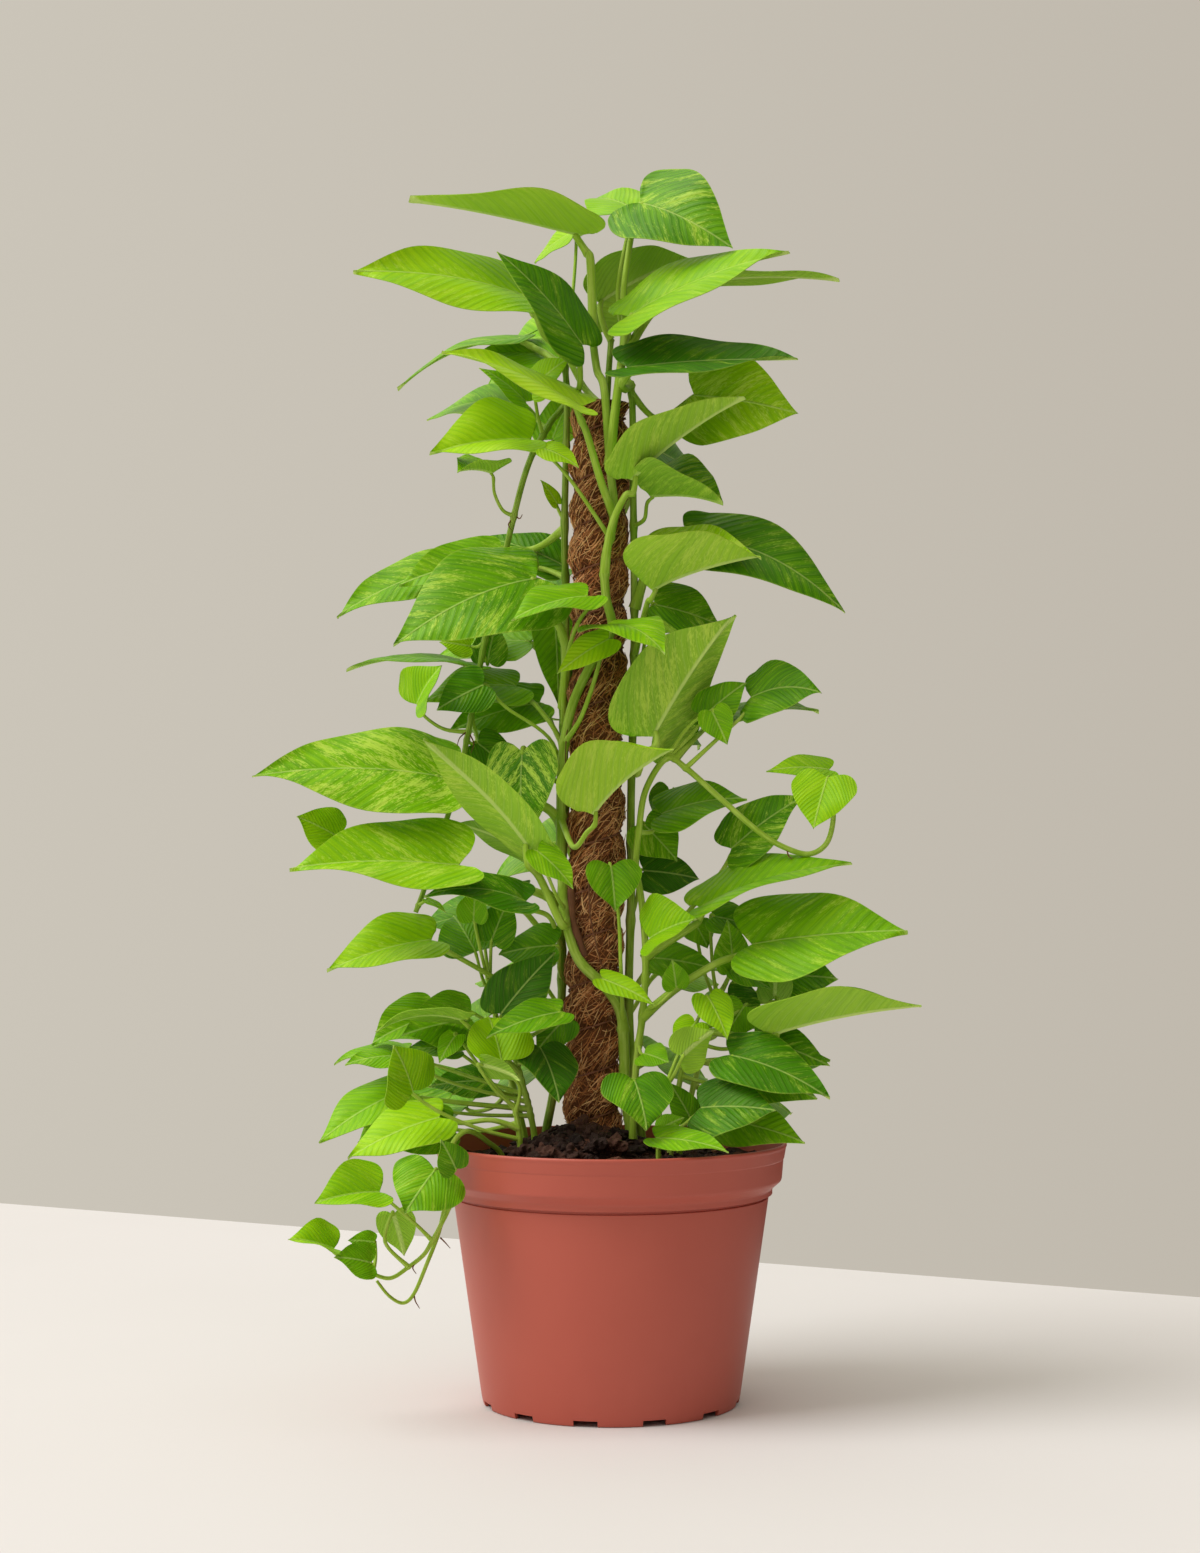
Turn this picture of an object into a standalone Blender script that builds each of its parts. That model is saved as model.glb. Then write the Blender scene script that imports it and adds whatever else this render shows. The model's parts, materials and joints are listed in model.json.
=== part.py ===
"""Variegated pothos climbing a coir pole in a ten-inch nursery pot.

The origin is the centre of the pot's base on the ground, +Z is up and the
front of the plant faces -Y.  Driving sizes are in centimetres, as read with a
rule on a front elevation through the pot's axis, and CM turns them to metres.
"""

import math
import random

import bmesh
import bpy
from mathutils import Matrix, Vector, noise
from mathutils.bvhtree import BVHTree

CM = 0.01
GAP = 0.03
SHARP_ANGLE = 50.0

# Eye that the front elevation is read from
EYE_DISTANCE = 175.0
EYE_HEIGHT = 36.08

# Nursery pot
POT_HEIGHT = 18.7
POT_RIM_RADIUS = 12.6
POT_BAND_RADIUS = 12.3
POT_SHOULDER_RADIUS = 11.35
POT_LIP_RADIUS = 11.62
POT_LIP_TOP = 15.45
POT_FOOT_RADIUS = 9.2
POT_BAND_BOTTOM = 16.1
POT_SHOULDER_HEIGHT = 15.0
POT_WALL = 0.22
POT_FLOOR_BOTTOM = 0.45
POT_FLOOR_TOP = 0.70
POT_PAD_RADIUS = 2.2
POT_SEGMENTS = 36
NOTCH_COUNT = 12
NOTCH_WIDTH = 1.7
NOTCH_DEPTH = 1.6
NOTCH_HEIGHT = 0.42
NOTCH_FIRST_ANGLE = 19.0
DRAIN_COUNT = 4
DRAIN_RADIUS = 0.45
DRAIN_CIRCLE = 6.2

# Potting mix
SOIL_LEVEL = 17.3
SOIL_HEAP = 2.3
SOIL_HEAP_SPREAD = 3.4
SOIL_HEAP_CENTRE = (-1.8, -1.2)
SOIL_CRUMB = 0.16
SOIL_RINGS = (10.6, 8.0, 5.2, 2.6)
PLANTING_DEPTH = 2.8
STEM_HOLE_SPARE = 0.10

# Coir pole on its wooden stake, bound with twine
POLE_FOOT = 18.0
POLE_TOP = 71.9
POLE_ACROSS_AT_FOOT = -1.35
POLE_ACROSS_AT_TOP = -0.75
POLE_RADIUS = 2.0
POLE_HOLE_SPARE = 0.28
POLE_HOLE_TOP = 30.0
POLE_SIDES = 16
TWINE_PITCH = 3.3
TWINE_GROOVE = 0.30
TWINE_RADIUS = 0.075
TWINE_LIFT = 0.09
TWINE_SIDES = 3
TURN_SEGMENTS = 8
STAKE_RADIUS = 0.8
STAKE_SPARE = 0.05
STAKE_FOOT = 2.0
STAKE_TOP = 69.5
STEM_TRACK = 2.62

# Leaf blade
BLADE_THICKNESS = 0.085
TEST_THICKNESS = 0.26
BLADE_COLUMNS = 2
BLADE_WAVE = 0.07
BLADE_SHARE = 0.66
LONG_LEAF = 10.5
MIDDLING_LEAF = 6.0
STALK_END = 0.03
STALK_SIDES = 3
STALK_SPARE = 0.07
STALK_THINNEST = 0.10
STALK_THICKEST = 0.26
STALK_SHARE = 0.020
STEM_SIDES = 4
STEM_TAPER = 0.35
BRANCH_SHARE = 0.85
LEAF_OUTLINE = (
    (0.00, -0.10, 0.40),
    (0.03, -0.07, 0.74),
    (0.09, 0.08, 0.97),
    (0.20, 0.26, 1.00),
    (0.36, 0.46, 0.86),
    (0.56, 0.66, 0.60),
    (0.76, 0.83, 0.31),
    (0.91, 0.94, 0.10),
    (1.00, 1.00, 0.00),
)


def at(across, up, depth):
    """World point of a reading on the elevation, moved to a depth along the line of sight."""
    scale = 1.0 + depth / EYE_DISTANCE
    return Vector((across * scale, depth, EYE_HEIGHT + (up - EYE_HEIGHT) * scale)) * CM


def pole_across(height):
    """Place across of the leaning pole's axis at a height."""
    share = (height - POLE_FOOT) / (POLE_TOP - POLE_FOOT)
    return POLE_ACROSS_AT_FOOT + (POLE_ACROSS_AT_TOP - POLE_ACROSS_AT_FOOT) * share


def on_pole(angle, height, reach=STEM_TRACK):
    """Point round the pole: 0 degrees is its front, 90 its right side."""
    turn = math.radians(angle)
    across = pole_across(height) + reach * math.sin(turn)
    return Vector((across, -reach * math.cos(turn), height)) * CM


def soil_height(across, depth):
    """Height of the potting mix, heaped by the pole, with a crumbly surface."""
    heap_across = across - SOIL_HEAP_CENTRE[0]
    heap_depth = depth - SOIL_HEAP_CENTRE[1]
    spread = (heap_across ** 2 + heap_depth ** 2) / (2.0 * SOIL_HEAP_SPREAD ** 2)
    crumb = noise.noise(Vector((across, depth, 0.0)) * 0.9)
    return SOIL_LEVEL + SOIL_HEAP * math.exp(-spread) + SOIL_CRUMB * crumb


def planted(across, depth):
    """The two lowest points of a stem that stands in its hole in the mix."""
    surface = soil_height(across, depth)
    foot = Vector((across, depth, surface - PLANTING_DEPTH)) * CM
    collar = Vector((across, depth, surface + 0.3)) * CM
    return [foot, collar]


def planted_by_pole(angle, reach=3.7):
    """A planting place beside the pole."""
    spot = on_pole(angle, 19.0, reach) / CM
    return planted(spot.x, spot.y)


def spline(points, place):
    """Catmull-Rom point at a place counted in points along the route."""
    last = len(points) - 1
    place = min(max(place, 0.0), last)
    first = min(int(place), last - 1)
    share = place - first
    before = points[max(first - 1, 0)]
    start = points[first]
    end = points[first + 1]
    after = points[min(first + 2, last)]
    return 0.5 * (
        2.0 * start
        + (end - before) * share
        + (2.0 * before - 5.0 * start + 4.0 * end - after) * share ** 2
        + (3.0 * start - before - 3.0 * end + after) * share ** 3
    )


def smooth_route(points, per_span):
    """Points read from the smooth curve through a route's own points."""
    count = round((len(points) - 1) * per_span)
    return [spline(points, index * (len(points) - 1) / count) for index in range(count + 1)]


def stem_point(route, place):
    """Point on a stem's centre line at a place counted in points along its route."""
    place = min(place, len(route) - 1.08)
    first = int(place)
    return route[first].lerp(route[first + 1], place - first)


def tube(path, radii, sides):
    """Closed tube along a path as vertices and faces."""
    vertices = []
    faces = []
    ahead = (path[1] - path[0]).normalized()
    side = ahead.orthogonal().normalized()
    for index, centre in enumerate(path):
        before = path[max(index - 1, 0)]
        after = path[min(index + 1, len(path) - 1)]
        ahead = (after - before).normalized()
        side = (side - ahead * side.dot(ahead)).normalized()
        other = ahead.cross(side)
        for step in range(sides):
            turn = 2.0 * math.pi * step / sides
            spoke = side * math.cos(turn) + other * math.sin(turn)
            vertices.append(centre + spoke * radii[index])
    for index in range(len(path) - 1):
        for step in range(sides):
            low = index * sides
            following = (step + 1) % sides
            faces.append((low + step, low + following, low + sides + following, low + sides + step))
    faces.append(tuple(reversed(range(sides))))
    faces.append(tuple(range(len(vertices) - sides, len(vertices))))
    return vertices, faces


def leaf_axes(base, tip, tilt):
    """Length, axis, side and normal of a blade.

    A tilt of 0 turns the upper face to the eye, 90 turns it up so that the
    blade is seen edge on, and above 90 its underside shows.
    """
    axis = tip - base
    length = axis.length
    axis.normalize()
    front = (Vector((0.0, -EYE_DISTANCE, EYE_HEIGHT)) * CM - base).normalized()
    facing = (front - axis * front.dot(axis)).normalized()
    upward = axis.cross(facing)
    if upward.z < 0.0:
        upward.negate()
    turn = math.radians(tilt)
    normal = facing * math.cos(turn) + upward * math.sin(turn)
    return length, axis, normal.cross(axis), normal


def outline_at(place):
    """Start on the rib and end on the edge of the side vein at a place from 0 to 1."""
    route = [Vector(row) for row in LEAF_OUTLINE]
    return spline(route, place * (len(route) - 1))


def blade_point(shape, place, across):
    """Point of the upper face: place runs base to tip, across runs edge to edge."""
    length, axis, side, normal = shape["axes"]
    half_width = shape["width"] * CM / 2.0
    rib, edge, reach = outline_at(place)
    along = rib + (edge - rib) * abs(across)
    offset = across * max(reach, 0.0) * half_width
    span = min(max(along, 0.0), 1.0)
    swell = 4.0 * span * (1.0 - span)
    rise = shape["arch"] * length * swell
    rise += abs(offset) * math.tan(math.radians(shape["fold"]))
    rise -= shape["cup"] * offset ** 2 / half_width
    rise += shape["wave"] * half_width * across ** 2 * math.sin(shape["phase"] + 9.0 * span)
    sweep = shape["sweep"] * length * swell
    turn = math.radians(shape["twist"]) * span
    level = offset * math.cos(turn) - rise * math.sin(turn) + sweep
    height = offset * math.sin(turn) + rise * math.cos(turn)
    return shape["base"] + axis * (along * length) + side * level + normal * height


def blade(shape, rows, columns, thickness):
    """Closed blade, split into triangles alike on both faces."""
    under = shape["axes"][3] * (-thickness * CM)
    upper = []
    for row in range(rows):
        place = row / rows
        for column in range(columns + 1):
            upper.append(blade_point(shape, place, 2.0 * column / columns - 1.0))
    upper.append(blade_point(shape, 1.0, 0.0))
    total = len(upper)
    vertices = upper + [point + under for point in upper]
    tip = total - 1
    top = []
    for row in range(rows - 1):
        for column in range(columns):
            first = row * (columns + 1) + column
            above = first + columns + 1
            top.append((first, above, above + 1))
            top.append((first, above + 1, first + 1))
    last = (rows - 1) * (columns + 1)
    top.extend((last + column, tip, last + column + 1) for column in range(columns))
    rim = [row * (columns + 1) for row in range(rows)] + [tip]
    rim += [row * (columns + 1) + columns for row in reversed(range(rows))]
    rim += list(reversed(range(1, columns)))
    faces = list(top)
    faces.extend(tuple(total + index for index in reversed(face)) for face in top)
    for start, end in zip(rim, rim[1:] + rim[:1]):
        faces.append((start, total + start, total + end))
        faces.append((start, total + end, end))
    return vertices, [tuple(reversed(face)) for face in faces]


def leaf(root, base, tip, width, tilt, via=(), arch=0.06, fold=14.0, cup=0.22, twist=0.0,
         sweep=0.0):
    """One leaf: where its stalk leaves the stem, its blade's ends, width and carriage."""
    return {"root": root, "base": base, "tip": tip, "width": width, "tilt": tilt, "via": via,
            "arch": arch, "fold": fold, "cup": cup, "twist": twist, "sweep": sweep}


def placed(row, route, shift, lift):
    """A leaf's blade shape and stalk path once moved back by a shift and up by a lift."""
    def moved(reading, share):
        across, up, depth = reading
        return at(across, up + lift * share, depth + shift * share)

    base = moved(row["base"], 1.0)
    tip = moved(row["tip"], 1.0)
    shape = dict(row)
    shape["base"] = base
    shape["axes"] = leaf_axes(base, tip, row["tilt"])
    shape["wave"] = BLADE_WAVE
    shape["phase"] = 40.0 * row["base"][0] + 23.0 * row["base"][1]
    length, axis, _, normal = shape["axes"]
    root = stem_point(route, row["root"])
    joint = blade_point(shape, 0.15, 0.0) - normal * BLADE_THICKNESS * CM / 2.0
    knee = base - axis * length * 0.05 - normal * length * 0.09
    if row["via"]:
        count = len(row["via"]) + 1
        middle = [moved(point, (index + 1) / count) for index, point in enumerate(row["via"])]
    else:
        reach = (knee - root).length
        middle = [root.lerp(knee, 0.5) + Vector((0.0, 0.0, -0.10 * reach))]
        middle[0] += (knee - root).cross(Vector((0.0, 0.0, 1.0))) * 0.04
    stalk = [root] + middle + [knee, joint]
    return shape, stalk


def stalk_radius(length):
    """Stalk radius that suits a leaf's length, both in metres."""
    return min(max(STALK_SHARE * length, STALK_THINNEST * CM), STALK_THICKEST * CM)


def blade_rows(length):
    """Rows that a blade is split into, by its length in metres."""
    if length > LONG_LEAF * CM:
        return 5
    if length > MIDDLING_LEAF * CM:
        return 4
    return 3


def stalk_tube(stalk, length, spare=0.0):
    """Tube along a leaf's stalk, a little stouter where it leaves the stem."""
    path = smooth_route(stalk, 1.0)
    thick = stalk_radius(length)
    radii = [thick * (1.25 - 0.4 * index / (len(path) - 1)) + spare for index in range(len(path))]
    radii[-1] = STALK_END * CM
    return tube(path, radii, STALK_SIDES)


VINES = {
    "vine_front": {
        "radius": 0.42,
        "routes": [planted_by_pole(50) + [
            on_pole(52, 22.5, 2.9), on_pole(58, 25), on_pole(48, 28), on_pole(18, 29.9),
            on_pole(-24, 31.8), on_pole(-50, 34.5), on_pole(-66, 38), on_pole(-74, 42),
            on_pole(-68, 46.5), on_pole(-42, 50), on_pole(-8, 53), on_pole(22, 55.3),
            on_pole(12, 57.7), on_pole(10, 60.3), on_pole(24, 63.5), on_pole(16, 67),
            on_pole(6, 72.3), at(-1.0, 74.3, -2.0), at(-1.3, 76.4, -1.2)]],
        "leaves": [
            leaf(20, (-2.2, 84.1, -1.2), (-14.6, 86.5, -3.0), 7.0, 92, arch=0.02, fold=31, cup=0.05,
                 via=((-1.35, 79.0, -1.2), (-1.5, 82.3, -1.1))),
            leaf(17, (1.2, 78.2, -2.6), (12.9, 82.8, -5.6), 7.0, 66, arch=0.05, fold=18,
                 via=((0.2, 70.5, -3.0), (0.7, 74.5, -2.8))),
            leaf(16, (-2.3, 71.8, -3.6), (-12.2, 75.7, -6.2), 5.2, 73, arch=0.05, fold=14,
                 via=((-0.7, 66.2, -3.6), (-1.7, 69.6, -3.7))),
            leaf(14.6, (1.5, 66.5, -4.3), (9.7, 72.3, -6.0), 5.8, 94, arch=0.04, fold=42, cup=0.1,
                 via=((0.0, 62.9, -3.7), (1.0, 65.2, -4.2))),
            leaf(15.5, (-4.7, 68.6, -3.6), (-2.3, 67.3, -5.2), 2.0, 40,
                 via=((-2.2, 65.4, -3.8), (-3.6, 67.2, -3.9))),
            leaf(9, (-1.3, 42.3, -5.0), (4.5, 47.0, -6.2), 7.4, 96, fold=46, cup=0.1,
                 via=((-2.7, 39.9, -3.6), (-1.7, 41.0, -4.6))),
            leaf(7, (-5.9, 39.8, -5.0), (-13.5, 47.8, -9.4), 4.6, 128, twist=50,
                 via=((-3.6, 34.4, -3.4), (-5.1, 37.6, -3.9))),
            leaf(7.3, (-5.3, 39.6, -5.4), (-2.7, 36.9, -6.0), 2.9, 40,
                 via=((-3.9, 36.3, -4.0), (-4.9, 38.6, -4.8))),
            leaf(5.2, (-0.6, 30.4, -4.2), (3.2, 28.5, -5.6), 1.9, 30),
            leaf(13, (-0.2, 54.9, -4.4), (-3.9, 52.4, -5.8), 2.6, 30),
            leaf(10.2, (-0.3, 55.9, -5.0), (3.9, 53.8, -9.2), 5.8, 62, arch=0.12,
                 via=((-2.1, 49.4, -3.7), (-0.9, 53.0, -4.6))),
            leaf(3.6, (0.0, 38.5, -3.7), (0.3, 35.2, -4.7), 4.0, 12, fold=26,
                 via=((0.7, 31.6, -3.6), (0.5, 35.4, -3.2))),
        ],
    },
    "vine_left": {
        "radius": 0.34,
        "routes": [planted_by_pole(-112) + [
            on_pole(-108, 23, 2.9), on_pole(-116, 29), on_pole(-110, 36), on_pole(-120, 43),
            on_pole(-110, 50), on_pole(-116, 57), on_pole(-106, 63), on_pole(-110, 69),
            at(-3.2, 73.0, 0.9), at(-3.5, 76.0, 0.6)]],
        "leaves": [
            leaf(11, (-6.0, 79.6, -1.6), (-18.6, 81.5, -4.0), 7.2, 66, arch=0.06, twist=-30,
                 via=((-4.7, 76.8, -0.2), (-5.3, 78.2, -0.8))),
            leaf(10, (-2.1, 76.2, -3.4), (-8.2, 82.9, -5.6), 5.6, 50, arch=0.05,
                 via=((-2.3, 73.0, -1.6),)),
            leaf(11, (-2.9, 84.2, 4.5), (-5.5, 82.0, 7.0), 2.6, 70,
                 via=((-2.8, 79.5, 3.2),)),
            leaf(10, (-3.8, 75.2, 3.4), (-10.0, 75.2, 5.5), 4.8, 60),
            leaf(10.4, (-6.4, 76.6, 6.0), (-15.4, 72.9, 8.0), 4.2, 84, arch=0.10,
                 via=((-4.6, 75.4, 3.4),)),
            leaf(9, (-4.2, 69.4, 2.4), (-2.2, 73.2, 5.4), 3.6, 30),
            leaf(6, (-5.4, 59.3, -2.8), (-15.7, 54.4, -6.4), 9.0, 38, arch=0.10, fold=10,
                 via=((-3.3, 54.6, -1.6), (-4.6, 57.3, -2.2))),
            leaf(8, (-11.5, 60.2, 2.8), (-19.8, 56.5, 1.0), 5.0, 52,
                 via=((-5.6, 61.4, 3.4), (-9.0, 61.4, 3.4))),
            leaf(7.4, (-8.4, 60.6, 1.2), (-15.3, 58.8, 0.0), 4.8, 38,
                 via=((-5.0, 60.0, 2.4),)),
            leaf(7.2, (-3.6, 60.3, 2.6), (-9.0, 62.2, 5.0), 3.9, 40),
            leaf(8.1, (-3.9, 64.7, 0.6), (-5.1, 66.4, 0.0), 1.1, 30),
            leaf(6.6, (-4.1, 56.8, 1.0), (-3.8, 50.0, 0.2), 3.6, 10),
            leaf(5.8, (-1.7, 58.0, -4.2), (-7.2, 56.3, -7.0), 4.8, 60, fold=18,
                 via=((-3.3, 52.6, -1.6), (-2.6, 55.6, -3.4))),
            leaf(5.2, (-6.9, 51.5, -2.2), (-13.6, 50.3, -4.4), 5.6, 56, arch=0.09,
                 via=((-3.7, 47.6, -1.2), (-5.3, 50.0, -2.0))),
            leaf(5.0, (-9.2, 51.6, -0.6), (-12.6, 49.8, -1.0), 3.6, 18,
                 via=((-4.2, 47.4, -0.6), (-7.6, 50.0, -0.8))),
            leaf(5.6, (-5.2, 50.3, 0.9), (-11.7, 48.2, 0.2), 5.0, 46),
            leaf(4.7, (-12.2, 45.0, -3.4), (-25.9, 45.0, -6.2), 8.7, 45, arch=0.06, fold=11,
                 via=((-4.6, 42.7, -2.2), (-8.4, 44.0, -3.0))),
            leaf(3.9, (-11.0, 38.6, -3.6), (-23.2, 38.4, -6.4), 7.8, 50, arch=0.04, fold=25,
                 via=((-4.8, 36.4, -1.4), (-8.0, 37.4, -2.6))),
            leaf(3.5, (-6.2, 36.0, -2.9), (-13.5, 36.4, -4.4), 4.6, 56, arch=0.12,
                 via=((-4.4, 34.8, -1.4),)),
            leaf(2.4, (-13.0, 33.2, -2.2), (-20.5, 30.9, -4.2), 5.6, 50, arch=0.06, fold=24,
                 via=((-5.5, 28.6, 0.2), (-9.0, 30.8, -0.6))),
            leaf(5.2, (-6.4, 46.8, -0.8), (-6.4, 40.0, -1.8), 5.4, 16),
            leaf(4.0, (-6.0, 39.4, -0.9), (-11.3, 41.6, -0.4), 4.0, 118),
            leaf(3.2, (-4.1, 32.8, -0.8), (-8.1, 32.1, 0.6), 3.8, 34),
        ],
    },
    "vine_hanging": {
        "radius": 0.28,
        "routes": [planted_by_pole(-156) + [
            on_pole(-152, 24, 2.8), on_pole(-158, 32), on_pole(-150, 40), on_pole(-156, 48),
            on_pole(-150, 56), on_pole(-154, 63), on_pole(-146, 68.5), at(-2.4, 72.2, 2.5),
            at(-4.0, 71.0, 1.4), at(-4.9, 69.6, 0.5), at(-5.6, 68.4, 0.0), at(-6.3, 66.5, -0.4),
            at(-7.0, 63.8, -0.6), at(-7.9, 60.0, -0.6), at(-9.1, 54.8, -0.4),
            at(-9.8, 50.9, -0.4), at(-10.3, 48.2, -0.5), at(-10.9, 45.2, -0.5),
            at(-11.7, 42.4, -0.5), at(-12.7, 39.4, -0.6), at(-13.5, 36.8, -0.8),
            at(-14.1, 35.2, -1.0)]],
        "leaves": [
            leaf(12, (-5.8, 69.3, -0.8), (-13.1, 68.2, -3.2), 6.4, 52, arch=0.06, fold=31),
            leaf(11, (-5.6, 73.0, -1.2), (-3.0, 75.2, -2.6), 2.9, 40),
            leaf(10.6, (-6.2, 72.1, 1.2), (-9.5, 74.5, 0.4), 2.2, 50),
            leaf(14, (-8.6, 66.9, -1.6), (-11.1, 67.0, -4.2), 4.2, 88, fold=34,
                 via=((-7.8, 64.2, -1.0), (-8.4, 65.4, -1.4))),
            leaf(16, (-10.2, 54.4, 0.8), (-12.4, 54.7, 0.4), 1.9, 15),
            leaf(16.2, (-8.9, 53.3, 2.4), (-8.3, 56.0, 3.2), 2.8, 10),
            leaf(16.6, (-10.0, 52.9, 1.2), (-19.1, 52.6, -1.4), 4.6, 82, arch=0.09),
            leaf(17.6, (-9.4, 48.6, 2.0), (-3.7, 49.6, 3.4), 3.2, 78),
            leaf(18, (-14.0, 50.2, -1.8), (-12.2, 53.0, -2.8), 4.6, 52, fold=30,
                 via=((-12.0, 48.4, -0.8), (-13.3, 49.2, -1.4))),
            leaf(20.4, (-19.8, 40.7, -0.4), (-22.7, 42.1, -1.4), 3.7, 24,
                 via=((-15.4, 40.4, 0.6), (-18.4, 40.2, 0.4))),
            leaf(18.2, (-9.6, 47.4, 1.0), (-6.9, 45.0, 1.8), 3.2, 20),
            leaf(19.6, (-11.8, 43.1, 1.0), (-14.5, 43.4, 1.8), 2.0, 66),
            leaf(22.6, (-13.3, 36.1, -1.6), (-11.9, 35.2, -2.4), 0.8, 50),
        ],
    },
    "vine_right": {
        "radius": 0.34,
        "routes": [planted_by_pole(104) + [
            on_pole(98, 23, 2.9), on_pole(106, 29), on_pole(98, 36), on_pole(106, 43),
            on_pole(96, 50), on_pole(86, 56), on_pole(74, 61), on_pole(66, 66),
            on_pole(58, 72.3), at(0.8, 74.3, -0.9), at(1.2, 76.5, 0.0)]],
        "leaves": [
            leaf(12, (2.1, 86.4, -1.4), (8.8, 83.1, -5.4), 7.2, 31, arch=0.08, fold=20,
                 via=((0.9, 79.6, -0.6), (1.4, 83.6, -0.4))),
            leaf(11.6, (1.5, 86.0, 1.8), (-1.6, 86.6, 6.4), 5.0, 64,
                 via=((0.5, 80.0, 1.0), (1.2, 84.0, 1.4))),
            leaf(11.4, (4.4, 80.3, 1.8), (16.5, 80.8, 0.2), 5.4, 104, arch=0.04,
                 via=((2.6, 78.0, 1.2),)),
            leaf(10.2, (1.3, 74.5, -4.2), (13.5, 75.1, -6.4), 6.4, 66, arch=0.02, fold=22),
            leaf(10, (6.0, 72.5, -1.4), (13.5, 71.2, -4.2), 7.2, 18, arch=0.08,
                 via=((3.4, 70.8, -1.2),)),
            leaf(8.4, (2.9, 65.7, -2.0), (8.1, 65.1, -4.4), 6.4, 84, fold=42, cup=0.1,
                 via=((2.4, 63.8, -1.9),)),
            leaf(6.6, (3.0, 58.5, -3.4), (10.8, 60.9, -5.2), 8.0, 88, arch=0.04, fold=45, cup=0.1,
                 via=((2.6, 57.4, -2.6),)),
            leaf(7.2, (5.8, 62.2, -1.0), (16.9, 56.8, -3.2), 6.0, 38, arch=0.16,
                 via=((3.0, 60.6, -0.8),)),
            leaf(6.2, (3.2, 57.4, -1.2), (8.0, 55.8, -1.6), 4.6, 36),
            leaf(5.4, (3.0, 47.9, -4.6), (8.9, 56.7, -4.0), 8.2, 142, arch=0.04, fold=28,
                 via=((1.9, 45.2, -2.8), (2.4, 46.6, -3.8))),
            leaf(5.8, (5.0, 49.2, -1.6), (4.4, 46.0, -2.6), 3.2, 15),
            leaf(3.0, (8.7, 39.8, -1.6), (14.0, 43.6, -3.4), 4.8, 34, arch=0.06,
                 via=((4.6, 34.0, -0.2), (7.6, 37.6, -1.0))),
            leaf(4.2, (2.4, 41.5, 0.8), (4.8, 38.9, 0.2), 3.9, 14),
            leaf(3.8, (2.4, 38.2, 1.6), (6.4, 37.6, 2.4), 3.6, 22),
            leaf(4.6, (4.3, 43.8, 2.0), (3.4, 41.4, 4.0), 3.0, 24),
        ],
    },
    "vine_arching": {
        "radius": 0.27,
        "routes": [planted(1.5, -3.4) + [
            at(1.8, 24.0, -3.3), at(2.3, 28.0, -3.4), at(2.5, 32.0, -3.3), at(2.2, 36.0, -3.0),
            at(1.8, 38.6, -2.9), at(2.0, 41.0, -3.0), at(2.5, 44.0, -3.2), at(4.0, 46.3, -3.4),
            at(5.4, 45.6, -3.6), at(7.9, 43.4, -3.8), at(10.8, 40.9, -4.0), at(12.7, 39.8, -4.0),
            at(14.3, 39.4, -4.0), at(15.5, 40.1, -4.0), at(16.0, 41.6, -4.0),
            at(16.0, 43.4, -3.9), at(15.8, 44.8, -3.8)]],
        "leaves": [
            leaf(18, (15.7, 45.5, -3.6), (11.2, 45.4, -4.6), 2.6, 46),
            leaf(17.6, (15.6, 44.9, -4.8), (14.6, 41.2, -6.2), 4.6, 12),
            leaf(10, (10.1, 50.7, -2.6), (15.2, 51.0, -4.6), 4.8, 34, arch=0.05, sweep=0.10,
                 via=((8.0, 48.0, -3.6), (9.5, 49.4, -3.2))),
            leaf(9.5, (7.0, 49.1, -2.0), (15.0, 49.8, -3.4), 4.2, 70, arch=0.07,
                 via=((6.0, 47.7, -2.8),)),
            leaf(9.2, (6.8, 49.4, 0.0), (9.8, 51.8, 0.4), 3.2, 26,
                 via=((5.4, 47.6, -1.4),)),
            leaf(9.0, (7.3, 49.7, -0.6), (8.4, 47.3, -1.2), 2.5, 6,
                 via=((5.6, 48.6, -1.4),)),
            leaf(7.0, (3.7, 42.3, -1.8), (9.8, 43.4, -3.2), 4.9, 50, arch=0.07,
                 via=((2.9, 41.0, -2.4),)),
            leaf(4.0, (6.5, 35.6, -2.0), (17.4, 38.7, -4.6), 5.8, 66, arch=0.06, fold=24,
                 via=((3.9, 32.9, -2.8), (5.9, 34.2, -2.4))),
            leaf(2.9, (10.2, 32.9, -3.8), (21.4, 33.9, -6.4), 7.8, 38, arch=0.03, fold=20,
                 via=((4.6, 29.6, -3.6), (7.6, 31.5, -3.8))),
            leaf(4.0, (2.8, 33.3, -4.6), (6.2, 34.7, -6.0), 5.2, 46, fold=34,
                 via=((2.6, 32.6, -4.0),)),
            leaf(3.6, (3.2, 31.9, -1.8), (7.7, 31.0, -2.6), 3.0, 30),
            leaf(3.0, (4.7, 29.8, -5.0), (4.4, 31.8, -5.6), 2.0, 10),
            leaf(2.4, (2.4, 25.0, -4.8), (4.2, 24.3, -6.0), 2.5, 36),
        ],
    },
    "vine_trailing": {
        "radius": 0.20,
        "routes": [
            planted(-7.6, -4.6) + [
                Vector((-8.6, -5.8, 19.2)) * CM, Vector((-9.9, -7.2, 20.1)) * CM,
                Vector((-10.9, -8.3, 19.3)) * CM, Vector((-11.1, -8.6, 17.6)) * CM,
                at(-11.6, 14.3, -8.6), at(-12.3, 12.6, -8.6), at(-12.9, 11.5, -8.6),
                at(-13.5, 10.5, -8.7), at(-14.6, 9.6, -8.8), at(-15.9, 8.8, -9.0),
                at(-17.2, 9.1, -9.2), at(-18.4, 9.7, -9.4), at(-19.5, 10.4, -9.5)],
            [Vector((-11.1, -8.6, 17.6)) * CM, at(-11.9, 14.6, -7.9), at(-12.4, 12.2, -7.2),
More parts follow.
